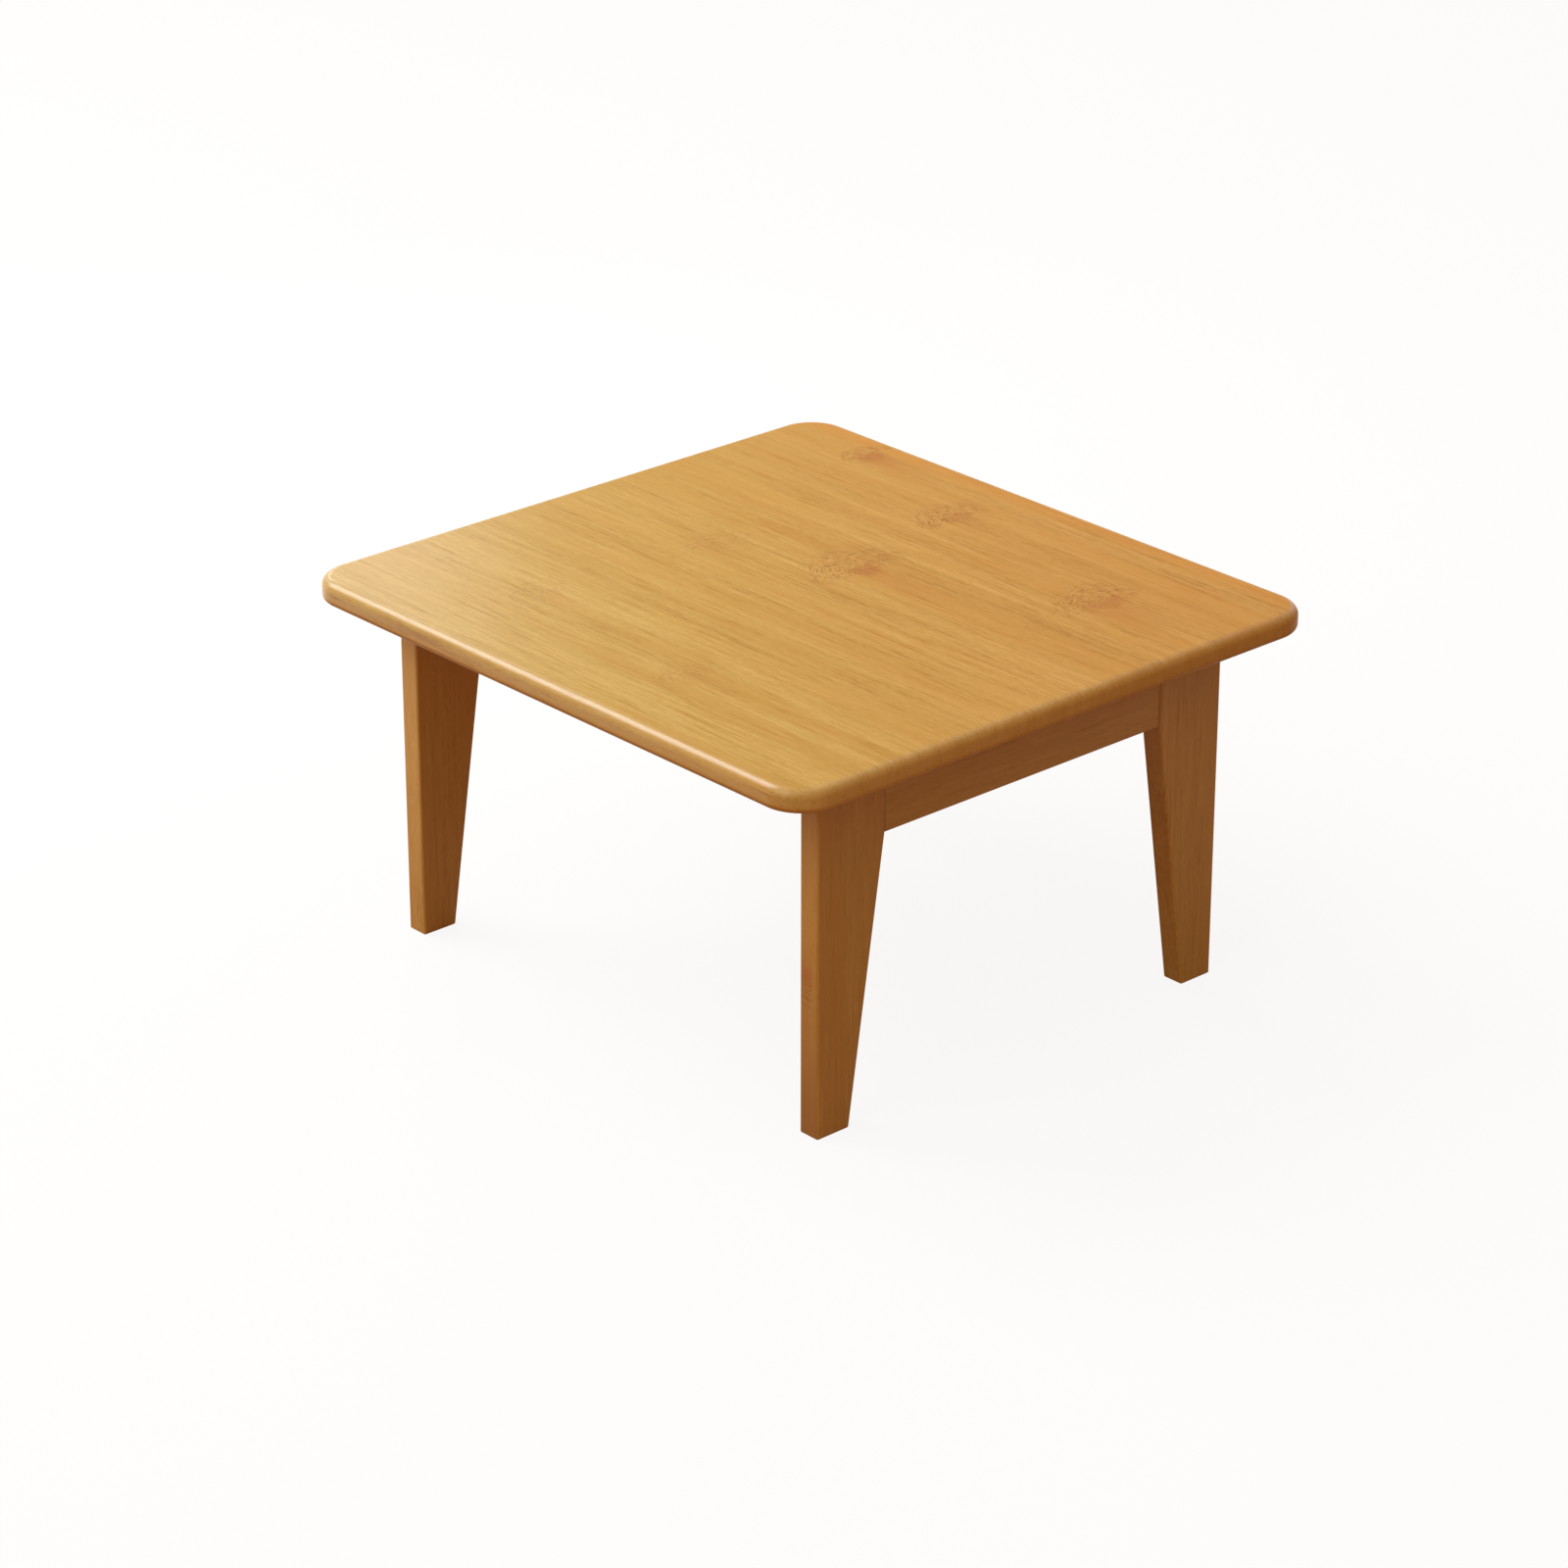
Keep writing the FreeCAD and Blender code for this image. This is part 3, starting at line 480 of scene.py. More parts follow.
def make_wear_group():
    """The arris attribute, broken up by noise."""
    group, inside, outside = new_group(
        "rubbed_arris",
        [("Vector", "Vector", (0, 0, 0)), ("Arris", "Float", 0.0), ("Amount", "Float", 0.5)],
        [("Mask", "Float")],
    )
    patches = noise(group, inside["Vector"], WEAR_SCALE, detail=4.0, roughness=0.6)
    patches = ramp(group, patches, *WEAR_PATCHES)
    rubbed = calc(group, "MULTIPLY", patches, ramp(group, inside["Arris"], *WEAR_ON_ARRIS))
    feed(group, outside, {"Mask": calc(group, "MULTIPLY", rubbed, inside["Amount"])})
    return group


wear_group = make_wear_group()
print("group", wear_group.name, "with", len(wear_group.nodes), "nodes")

# %% [markdown]
# The three bamboo finishes share those groups. The boards differ in which way their fibres
# run, which a Mapping node turns, in how warm their tone is, and in their lacquer: satin on
# the flat of the top, and polished by hands on its rounded edges. The faces that look up are
# paler towards the left corner: partly a paler colour of the wood, partly painted sheen.
# Elsewhere the top is more amber, and warmest along its right edge. End grain drinks more
# lacquer and looks a little redder, so the end_grain attribute tints it, and the tone
# attribute makes single faces lighter or darker, with the wood's own colour and with painted
# light and shade.

# %% Bamboo finishes
PALE = colour(218, 178, 100)
HONEY = colour(203, 161, 79)
CARAMEL = colour(178, 130, 48)
AMBER = colour(203, 153, 68)
HEARTWOOD_AND_SHADE = colour(146, 92, 38)
END_GRAIN = colour(216, 162, 82)
RUBBED = colour(214, 176, 104)
MARK_PARTS = ("Tail", "Core", "Dashes")
MARK_PAINTS = (colour(188, 124, 48), colour(176, 104, 42), colour(150, 88, 32))
FRAME_STAIN = (0.97, 0.87, 0.83, 1.0)
TOP_STAIN = (1.0, 0.885, 0.82, 1.0)
PALE_AND_SHEEN_STAIN = (0.95, 1.03, 1.02, 1.0)
PALE_AND_SHEEN_SLANT = -0.6
PALE_AND_SHEEN_REACH = 0.42
WARM_STAIN = (1.06, 0.885, 0.71, 1.0)
WARM_FROM, WARM_TO = 0.250, 0.276
QUIET_FROM, QUIET_TO, QUIET_SHARE = 0.15, 0.50, 0.55
TOP_DRIFT = 0.3
TOP_CONTRAST = 1.0
FRAME_CONTRAST = 0.8
TONE_TO_HEARTWOOD_AND_SHADE = (0.2, 1.0, 0.0, 0.75)
END_GRAIN_TINT = (0.55, 1.0, 0.0, 0.35)
WEAR_AMOUNT = 0.25
WEAR_ROUGHNESS = 0.3
STREAK_ROUGHNESS = 0.12
LACQUER_ROUGHNESS = 0.34
FRAME_GLOSS = 0.22
TOP_GLOSS = 0.04
POLISH_ROUGHNESS = 0.27
POLISH_IOR = 1.6
BUMP_DEPTH = 0.00006
FIBRES_ALONG_Y = (0.0, 0.0, 0.0)
FIBRES_ALONG_Z = (math.pi / 2, 0.0, 0.0)
FIBRES_ALONG_X = (math.pi / 2, 0.0, math.pi / 2)

# Knuckles that show on the top: where they are across and along, the half width, the reach
# of the fan and of the tail, and how strong the tail, the core and the dashes are.
TOP_KNUCKLES = [
    (0.246, 0.186, 0.013, 0.036, 0.10, 0.60, 0.62, 0.50),
    (0.201, 0.028, 0.014, 0.048, 0.07, 0.14, 0.34, 0.60),
    (0.064, -0.004, 0.012, 0.064, 0.14, 0.42, 0.70, 0.60),
    (0.158, -0.185, 0.020, 0.054, 0.12, 0.38, 0.50, 0.64),
    (-0.166, 0.128, 0.014, 0.045, 0.06, 0.12, 0.06, 0.26),
    (0.010, 0.112, 0.013, 0.045, 0.05, 0.10, 0.0, 0.24),
    (-0.188, -0.080, 0.012, 0.040, 0.07, 0.14, 0.10, 0.26),
]

# And on the underside.
UNDER_KNUCKLES = [
    (-0.120, 0.010, 0.012, 0.040, 0.09, 0.30, 0.40, 0.40),
    (0.048, 0.205, 0.014, 0.050, 0.12, 0.35, 0.25, 0.50),
    (0.121, -0.150, 0.012, 0.040, 0.08, 0.25, 0.40, 0.35),
]

# One more shows on the narrow edge of the nearest leg, where along is measured downwards.
LEG_KNUCKLES = [(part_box("front_left_leg")[0].x, -0.136, 0.012, 0.030, 0.045, 0.45, 0.65, 0.60)]


def add_knuckles(tree, place, base, face, knuckles):
    """Paints each knuckle's tail, core and dashes over the wood, in the ply of one face."""
    for x, y, half_width, fan, tail, *shares in knuckles:
        sizes = {"Half Width": half_width, "Fan": fan, "Tail": tail}
        mark = use_group(tree, mark_group, {"Vector": place, "Place": (x, y, face), **sizes})
        for part, share, paint in zip(MARK_PARTS, shares, MARK_PAINTS):
            base = blend_colour(tree, calc(tree, "MULTIPLY", mark[part], share), base, paint)
    return base


def make_bamboo(
    name, fibres, stain, knuckles=(), drift=0.0, contrast=FRAME_CONTRAST, gloss=FRAME_GLOSS
):
    """Strips and fibres, then knuckles, end grain and rubbed arrises, under a satin lacquer.

    The stain gives way to the pale one, partly painted sheen, as X + slant * Y falls, and to
    the warm one at the right edge, both as far as the face looks up. The tone grows by
    X * drift, and the contrast falls with X + Y.
    """
    material, tree, shader = new_material(name)
    place = add(tree, "TexCoord").outputs["Object"]
    along_fibres = add(tree, "Mapping", {"Vector": place, "Rotation": fibres}).outputs[0]
    parts = add(tree, "SeparateXYZ", {"Vector": place}).outputs
    # The tone attribute holds the wood's own colour shifts, and painted shade and light on some
    # faces.
    tone = noted(tree, "tone")
    diagonal = calc(tree, "ADD", parts["X"], parts["Y"])
    quiet = contrast * QUIET_SHARE
    inputs = {
        "Vector": along_fibres,
        "Pale": PALE,
        "Honey": HONEY,
        "Caramel": CARAMEL,
        "Amber": AMBER,
        "Contrast": ramp(tree, diagonal, QUIET_FROM, QUIET_TO, contrast, quiet),
        "Drift": calc(tree, "MULTIPLY_ADD", parts["X"], drift, tone),
    }
    wood = use_group(tree, bamboo_group, inputs)
    # Darker towards a deep brown where the tone is high: the wood's own dark colour, and painted
    # shade.
    heart_and_shade = ramp(tree, tone, *TONE_TO_HEARTWOOD_AND_SHADE)
    wood_colour = blend_colour(tree, heart_and_shade, wood["Color"], HEARTWOOD_AND_SHADE)
    # Paler stain towards the left corner on faces that look up: partly the wood's own paler colour,
    # partly painted sheen.
    slanted = calc(tree, "MULTIPLY_ADD", parts["Y"], PALE_AND_SHEEN_SLANT, parts["X"])
    facing_up = noted(tree, "facing_up")
    pale_and_sheen = ramp(tree, slanted, -PALE_AND_SHEEN_REACH, PALE_AND_SHEEN_REACH, facing_up, 0.0)
    warm = ramp(tree, parts["X"], WARM_FROM, WARM_TO, 0.0, facing_up)
    stain = blend_colour(tree, pale_and_sheen, stain, PALE_AND_SHEEN_STAIN)
    stain = blend_colour(tree, warm, stain, WARM_STAIN)
    base = blend_colour(tree, 1.0, wood_colour, stain, "MULTIPLY")
    for face, marks in knuckles:
        base = add_knuckles(tree, along_fibres, base, face, marks)
    end = ramp(tree, noted(tree, "end_grain"), *END_GRAIN_TINT)
    base = blend_colour(tree, end, base, END_GRAIN)
    wear = {"Vector": place, "Arris": noted(tree, "arris"), "Amount": WEAR_AMOUNT}
    worn = use_group(tree, wear_group, wear)["Mask"]
    base = blend_colour(tree, worn, base, RUBBED)
    rough = calc(tree, "MULTIPLY_ADD", wood["Streaks"], STREAK_ROUGHNESS, LACQUER_ROUGHNESS)
    rough = calc(tree, "MULTIPLY_ADD", worn, WEAR_ROUGHNESS, rough)
    bump = add(tree, "Bump", {"Height": wood["Height"], "Strength": 1.0, "Distance": BUMP_DEPTH})
    look = {"Base Color": base, "Roughness": rough, "Specular IOR Level": gloss}
    feed(tree, shader.inputs, {**look, "Normal": bump.outputs[0]})
    return material


def add_polish(material):
    """A clear coat as strong as the polish attribute says."""
    tree = material.node_tree
    coat = {"Coat Roughness": POLISH_ROUGHNESS, "Coat IOR": POLISH_IOR}
    coat["Coat Weight"] = noted(tree, "polish")
    feed(tree, tree.nodes["Principled BSDF"].inputs, coat)


under_face, top_face = (corner.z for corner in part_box("table_top"))
top_marks = [(top_face, TOP_KNUCKLES), (under_face, UNDER_KNUCKLES)]
bamboo_top = make_bamboo(
    "bamboo_top", FIBRES_ALONG_Y, TOP_STAIN, top_marks, TOP_DRIFT, TOP_CONTRAST, TOP_GLOSS
)
add_polish(bamboo_top)
leg_marks = [(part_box("front_left_leg")[1].y - MARK_PLY, LEG_KNUCKLES)]
bamboo_upright = make_bamboo("bamboo_upright", FIBRES_ALONG_Z, FRAME_STAIN, leg_marks)
bamboo_level = make_bamboo("bamboo_level", FIBRES_ALONG_X, FRAME_STAIN)
print("bamboo finishes:", bamboo_top.name, bamboo_upright.name, bamboo_level.name)

# %% [markdown]
# The new pieces are closed surfaces worked out on a grid. One parameter goes round a rounded
# outline, the other along the piece. A helper joins the rows with quads, closes both ends
# with a fan, turns the faces outwards and notes end grain and arrises on the points.

# %% Helpers for surfaces
ARC_STEPS = 9
SUPPORT = 0.0005
TURN_COLUMNS = 36
SHARP_ANGLE = math.radians(32)
QUARTERS = np.array([[1, 1], [-1, 1], [-1, -1], [1, -1]])
X, Y, Z = np.eye(3)
TURNS = np.linspace(0, 2 * math.pi, TURN_COLUMNS, endpoint=False)
ENDS = (("front", -1), ("rear", 1))
SIDES = ("left", "right")


def rounded_outline(half_a, half_b, radii, steps=ARC_STEPS, support=SUPPORT):
    """Rounded rectangles, one per row, as (rows, points, 2).

    In quarter k a point is the corner's middle plus its radius times (cos t, sin t), with t
    from k to k + 1 quarter turns. One more point a little before and after each arc keeps
    the shading of the straight sides flat.
    """
    half = np.stack([half_a, half_b], axis=-1)[:, None, None, :]
    radii = np.broadcast_to(radii, (len(half), 4))[:, :, None, None]
    turn = (np.arange(4)[:, None] + np.linspace(0, 1, steps)) * (math.pi / 2)
    spoke = np.stack([np.cos(turn), np.sin(turn)], axis=-1)
    middle = (half - radii) * QUARTERS[None, :, None, :]
    arcs = middle + radii * spoke
    ahead = np.stack([-np.sin(turn), np.cos(turn)], axis=-1) * support
    before = arcs[:, :, :1] - ahead[None, :, :1]
    after = arcs[:, :, -1:] + ahead[None, :, -1:]
    return np.concatenate([before, arcs, after], axis=2).reshape(len(half), -1, 2)


def carried(outline, across, up, ahead, origin, along):
    """Rows of an outline carried along an axis: origin + a * across + b * up + s * ahead."""
    a, b = outline[..., 0:1], outline[..., 1:2]
    return origin + a * across + b * up + along[:, None, None] * ahead


def turned(radius):
    """Circles as outlines, one per row: (r cos t, r sin t), where r may also change with t."""
    radius = np.asarray(radius).reshape(len(radius), -1) * np.ones(TURN_COLUMNS)
    return radius[..., None] * np.stack([np.cos(TURNS), np.sin(TURNS)], axis=-1)


def grid_faces(rows, columns):
    """Quads between neighbouring rows, the last column meeting the first, and a fan at each end."""
    spots = np.arange(rows * columns).reshape(rows, columns)
    beside = np.roll(spots, -1, axis=1)
    quads = np.stack([spots[:-1], beside[:-1], beside[1:], spots[1:]], axis=-1).reshape(-1, 4)
    first, last = rows * columns, rows * columns + 1
    low = np.stack([np.full(columns, first), beside[0], spots[0]], axis=-1)
    high = np.stack([np.full(columns, last), spots[-1], beside[-1]], axis=-1)
    return [quads, low, high]


def signed_volume(points, groups):
    """Six times the volume that groups of faces enclose, positive if they point outwards."""
    total = 0.0
    for corner in groups:
        for n in range(1, corner.shape[1] - 1):
            a, b, c = points[corner[:, 0]], points[corner[:, n]], points[corner[:, n + 1]]
            total += float(np.einsum("ij,ij->i", a, np.cross(b, c)).sum())
    return total


def closed_piece(name, grids, material, body):
    """One object from one or more closed grids of points, each (rows, columns, 3)."""
    points, faces = np.zeros((0, 3)), []
    for grid in grids:
        ends = np.stack([grid[0].mean(axis=0), grid[-1].mean(axis=0)])
        own = np.concatenate([grid.reshape(-1, 3), ends])
        groups = grid_faces(*grid.shape[:2])
        if signed_volume(own, groups) < 0:
            groups = [corner[:, ::-1] for corner in groups]
        for corner in groups:
            faces += (corner + len(points)).tolist()
        points = np.concatenate([points, own])
    mesh = bpy.data.meshes.new(name)
    mesh.from_pydata(points.tolist(), [], faces)
    mesh.polygons.foreach_set("use_smooth", np.ones(len(mesh.polygons), bool))
    mesh.set_sharp_from_angle(angle=SHARP_ANGLE)
    mesh.materials.append(material)
    piece = bpy.data.objects.new(name, mesh)
    bpy.context.scene.collection.objects.link(piece)
    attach(piece, body)
    return piece


def read_points(piece):
    """Places and normals of a piece's points."""
    places, normals = (np.zeros(len(piece.data.vertices) * 3, np.float32) for _ in range(2))
    piece.data.vertices.foreach_get("co", places)
    piece.data.vertices.foreach_get("normal", normals)
    return places.reshape(-1, 3), normals.reshape(-1, 3)


def note(piece, label, values):
    """Writes one number per point, which a material can read by its name."""
    attribute = piece.data.attributes.new(label, "FLOAT", "POINT")
    attribute.data.foreach_set("value", values.astype(np.float32))


def note_wood(piece, fibres, face):
    """How squarely the fibres end at each point, and how far round an arris the point is."""
    _, normals = read_points(piece)
    flat = (normals @ face) ** 2
    note(piece, "end_grain", np.abs(normals @ fibres))
    note(piece, "arris", 4 * flat * (1 - flat))


print("surface helpers ready")

# %% [markdown]
# The top is one board with round corners and rounded edges. It could be a box with a bevel,
# but a section carried round the outline gives even, smooth bands that catch the light as
# the real lacquered edge does.

# %% Table top
CORNER_RADIUS = 0.036
UPPER_EDGE = 0.008
LOWER_EDGE = 0.006
CORNER_STEPS = 25
EDGE_STEPS = 13

# How much each facing is polished, and how far it takes the pale stain, partly painted sheen,
# from straight down to straight up. End grain soaks up its lacquer and stays duller. It is
# pale, except at the right end. The left edge has more polish, which grows from the front
# corner to the left one, and painted shade where it turns under. Its bright line fades
# towards the front corner. A normal counts as fully on the left from a share of 1 / LEFT_GAIN.
FACINGS = (-0.1, 0.0, 0.55, 0.80, 0.95, 1.0)
POLISH_AT = (0.0, 0.35, 0.35, 1.0, 1.0, 0.05)
FACING_UP_AT = (0.0, 0.55, 0.8, 0.95, 1.0, 1.0)
DULL_END = 0.75
END_SPAN, END_TONES = (0.15, 0.21), (-0.4, 0.15)
LEFT_SPAN, LEFT_POLISH = (-0.28, 0.28), (0.38, 0.60)
LINE_SPAN, LINE_SHINE = (-0.28, -0.14), (0.78, 1.0)
LEFT_GAIN = 4
UNDER_SHADE_FACINGS, UNDER_SHADE_TONES = (-1.0, -0.6, -0.2, 0.1), (0.0, 0.7, 0.35, 0.0)


def note_handling(piece):
    """Hands polish the edge where it turns sideways. What looks up takes the pale stain, partly
    painted sheen, and the left edge takes painted shade where it turns under.
    """
    places, normals = read_points(piece)
    at_end = np.abs(normals[:, 1])
    shine = np.interp(normals[:, 2], FACINGS, POLISH_AT) * (1 - DULL_END * at_end)
    left = np.maximum(-normals[:, 0], 0)
    extra = left * np.interp(normals[:, 2], FACINGS[:2], (0.0, 1.0))
    extra *= np.interp(places[:, 1], LEFT_SPAN, LEFT_POLISH)
    on_left = np.minimum(LEFT_GAIN * left, 1)
    fade = 1 + (np.interp(places[:, 1], LINE_SPAN, LINE_SHINE) - 1) * on_left
    note(piece, "polish", np.minimum(shine * fade + extra, 1))
    note(piece, "facing_up", np.interp(normals[:, 2], FACINGS, FACING_UP_AT))
    end_tone = np.interp(places[:, 0], END_SPAN, END_TONES) * at_end
    # Painted shade on the left edge where it turns under.
    under_shade = np.interp(normals[:, 2], UNDER_SHADE_FACINGS, UNDER_SHADE_TONES) * left
    note(piece, "tone", end_tone + under_shade)


def make_top():
    """Rows climb the edge: inset r(1 - cos t), height r(1 + sin t), t from a quarter turn below
    level to level on the lower edge, and on to a quarter turn above it on the upper one."""
    low, high = (np.array(p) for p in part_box("table_top"))
    half = (high - low) / 2
    middle = (high + low) / 2
    rise = np.linspace(0, math.pi / 2, EDGE_STEPS)
    lower_inset = LOWER_EDGE * (1 - np.cos(rise[::-1]))
    lower_height = low[2] + LOWER_EDGE * (1 - np.sin(rise[::-1]))
    upper_inset = UPPER_EDGE * (1 - np.cos(rise))
    upper_height = high[2] - UPPER_EDGE * (1 - np.sin(rise))
    inset = np.array([LOWER_EDGE + SUPPORT, *lower_inset, *upper_inset, UPPER_EDGE + SUPPORT])
    height = np.array([low[2], *lower_height, *upper_height, high[2]])
    radii = (CORNER_RADIUS - inset)[:, None]
    outline = rounded_outline(half[0] - inset, half[1] - inset, radii, CORNER_STEPS)
    rows = carried(outline, X, Y, Z, middle * (1, 1, 0), height)
    piece = closed_piece("top_board", [rows], bamboo_top, "top")
    note_wood(piece, Y, Z)
    note_handling(piece)
    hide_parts("table_top")
    return piece


top_board = make_top()
print(top_board.name, len(top_board.data.polygons), "faces")

# %% [markdown]
# A leg is sawn from flat board. Its outer edge is upright, and its inner edge tapers from the
# apron's lower edge to the foot. The arrises are eased. The section stays a rounded rectangle
# all the way up, so only its width changes with the height. The narrow edges of three legs
# carry painted shade and light from the foot to the shoulder: the front left one grows darker
# towards the foot, the front right one is darker all along, and the rear left one is darker
# at the foot and lighter at the shoulder.

# %% Legs
LEG_FOOT_WIDTH = 0.0335
LEG_ARRIS = 0.002
FOOT_CHAMFER = 0.0008
EDGE_MIDDLE = 0.55
EDGE_LIGHT_AND_SHADE = {
    "front_left_leg": (0.85, 0.72, 0.0),
    "front_right_leg": (0.3, 0.3, 0.3),
    "rear_left_leg": (0.3, 0.0, -0.45),
}


def make_leg(side, end):
    """The section's width runs straight from foot to shoulder and then stays as it is."""
    node = f"{end}_{side}_leg"
    low, high = (np.array(p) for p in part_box(node))
    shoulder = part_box(f"{end}_apron")[0].z
    foot = low[2] + FOOT_CHAMFER
    bend = [shoulder - SUPPORT, shoulder, shoulder + SUPPORT]
    heights = np.array([low[2], foot, foot + SUPPORT, *bend, high[2] - SUPPORT, high[2]])
    full = high[0] - low[0]
    climb = np.clip((heights - low[2]) / (shoulder - low[2]), 0, 1)
    width = LEG_FOOT_WIDTH + (full - LEG_FOOT_WIDTH) * climb
    inset = np.where(heights < low[2] + FOOT_CHAMFER / 2, FOOT_CHAMFER, 0)
    half_thick = (high[1] - low[1]) / 2 - inset
    outline = rounded_outline(width / 2 - inset, half_thick, (LEG_ARRIS - inset)[:, None])
    middle_x = low[0] + width / 2 if side == "left" else high[0] - width / 2
    rows = carried(outline, X, Y, Z, np.array([0, (low[1] + high[1]) / 2, 0]), heights)
    rows[..., 0] += middle_x[:, None]
    name, body = f"{end}_{side}_leg_board", f"{end}_frame"
    piece = closed_piece(name, [rows], bamboo_upright, body)
    note_wood(piece, Z, Y)
    places, normals = read_points(piece)
    # Painted shade and light on the narrow edges, from the foot to the shoulder.
    levels = (low[2], low[2] + EDGE_MIDDLE * (shoulder - low[2]), shoulder)
    edge_light_and_shade = np.interp(places[:, 2], levels, EDGE_LIGHT_AND_SHADE.get(node, (0.0, 0.0, 0.0)))
    note(piece, "tone", edge_light_and_shade * normals[:, 0] ** 2)
    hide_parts(node)
    return piece


legs = [make_leg(side, end) for end, _ in ENDS for side in SIDES]
print(len(legs), "legs,", len(legs[0].data.polygons), "faces each")

# %% [markdown]
# The apron joins two legs. Its ends butt against them with a hairline joint, and its lower
# arrises are eased. Its upper edges stay square under the top. The cut ends have drunk more
# stain, which shows as a thin dark line at each joint.

# %% Aprons
APRON_ARRIS = 0.0015
APRON_SQUARE = 0.0003
JOINT_SHADE = 0.0013


def make_apron(end):
    """The section lies in Y and Z and is carried along X, with small upper radii."""
    node = f"{end}_apron"
    low, high = (np.array(p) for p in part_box(node))
    half = (high - low) / 2
    middle = (high + low) / 2
    along = np.array([low[0], low[0] + JOINT_SHADE, high[0] - JOINT_SHADE, high[0]])
    ones = np.ones(len(along))
    radii = np.array([APRON_SQUARE, APRON_SQUARE, APRON_ARRIS, APRON_ARRIS])
    outline = rounded_outline(half[1] * ones, half[2] * ones, radii)
    rows = carried(outline, Y, Z, X, middle * (0, 1, 1), along)
    name, body = f"{end}_apron_board", f"{end}_frame"
    piece = closed_piece(name, [rows], bamboo_level, body)
    note_wood(piece, X, Y)
    reach = np.abs(read_points(piece)[0][:, 0] - middle[0])
    note(piece, "tone", (reach > half[0] - JOINT_SHADE / 2) * 1.0)
    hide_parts(node)
    return piece


aprons = [make_apron(end) for end, _ in ENDS]
print(len(aprons), "aprons,", len(aprons[0].data.polygons), "faces each")

# %% [markdown]
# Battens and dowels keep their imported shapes, with their screw holes, and take the same
# bamboo finish as the aprons.

# %% Finishes on the carried-over wood
def repaint(node, material):
    """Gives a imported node's object one material."""
    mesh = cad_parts[node].data
    mesh.materials.clear()
    mesh.materials.append(material)


for end, _ in ENDS:
    repaint(f"{end}_batten", bamboo_level)
    repaint(f"{end}_frame_dowels", bamboo_level)
print("battens and dowels painted")

# %% [markdown]
# The hinges are pressed from zinc-plated steel, and the screws are plated too. Plating is a
# pale grey metal with a faint mottle and a fine brushed direction left by rolling.

# %% Steel finishes
BRUSH_SHARE = 0.4
PALE_TO_DEEP = (0.3, 0.7)
STEEL_DRIFT = 0.18
STEEL_BUMP = 0.00001


def make_steel(name, pale, deep, roughness, mottle, brush):
    """A metal whose tone and roughness drift with a mottle and fine brush lines."""
    material, tree, shader = new_material(name)
    place = add(tree, "TexCoord").outputs["Object"]
    patches = noise(tree, place, (mottle,) * 3, detail=3.0)
    lines = noise(tree, place, brush)
    mottled = calc(tree, "MULTIPLY", patches, 1 - BRUSH_SHARE)
    mixed = calc(tree, "MULTIPLY_ADD", lines, BRUSH_SHARE, mottled)
    tone = blend_colour(tree, ramp(tree, mixed, *PALE_TO_DEEP), pale, deep)
    rough = calc(tree, "MULTIPLY_ADD", mixed, STEEL_DRIFT, roughness)
    bump = add(tree, "Bump", {"Height": lines, "Strength": 1.0, "Distance": STEEL_BUMP})
    look = {"Base Color": tone, "Roughness": rough, "Metallic": 1.0}
    feed(tree, shader.inputs, {**look, "Normal": bump.outputs[0]})
    return material


# The pale and the deep tone, then the roughness, the mottle's scale and the brush's.
ZINC = (colour(196, 199, 203), colour(158, 161, 166), 0.26, 260.0, (90.0, 2200.0, 2200.0))
SCREW_ZINC = (colour(206, 206, 202), colour(166, 164, 156), 0.22, 420.0, (900.0,) * 3)
SPRING = (colour(150, 152, 156), colour(104, 106, 110), 0.30, 180.0, (2400.0, 120.0, 2400.0))
zinc = make_steel("hinge_zinc", *ZINC)
screw_zinc = make_steel("screw_zinc", *SCREW_ZINC)
spring = make_steel("spring_steel", *SPRING)
leaves = [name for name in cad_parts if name.endswith("_leaf")]
for name in leaves:
    repaint(name, zinc)
print("steel finishes made,", len(leaves), "hinge leaves painted")

# %% [markdown]
# A hinge pin is a turned part: a radius that changes along an axis. Its shank is plain, and
# both ends are peened over into low domes. A quarter turn u draws a dome: its height grows
# with sin u while its radius shrinks with cos u.

# %% Hinge pins
PIN_RADIUS = 0.0016
PEEN_RADIUS = 0.0025
PEEN_HEIGHT = 0.0008
PEEN_RIM = 0.25
PEEN_TURN = math.pi / 2 - 0.1
DOME_STEPS = 7


def make_pin(end, side):
    """The profile runs from the middle of the pin to one dome, and is mirrored to the other."""
    node = f"{end}_{side}_hinge_pin"
    low, high = (np.array(p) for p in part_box(node))
    shank = (high[0] - low[0]) / 2 - PEEN_HEIGHT
    rise = np.linspace(0, PEEN_TURN, DOME_STEPS)
    dome = shank + PEEN_HEIGHT * (PEEN_RIM + (1 - PEEN_RIM) * np.sin(rise))
    along = np.concatenate([[shank - SUPPORT, shank, shank], dome])
    radius = np.concatenate([[PIN_RADIUS, PIN_RADIUS, PEEN_RADIUS], PEEN_RADIUS * np.cos(rise)])
    along = np.concatenate([-along[::-1], along])
    radius = np.concatenate([radius[::-1], radius])
    rows = carried(turned(radius), Y, Z, X, (low + high) / 2, along)
    piece = closed_piece(f"{end}_{side}_pin", [rows], screw_zinc, "top")
    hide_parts(node)
    return piece


pins = [make_pin(end, side) for end, _ in ENDS for side in SIDES]
print(len(pins), "hinge pins,", len(pins[0].data.polygons), "faces each")

# %% [markdown]
# Wood screws have a cross recess, a countersunk or round head, a plain neck and a thread. The
# recess is a lobed curve, waist + (reach - waist) |cos 2t| ^ 6, that shrinks as it goes down.
# The thread is a ridge in the radius that climbs one pitch per turn. Every screw stops at its
# own angle, as a real one does.

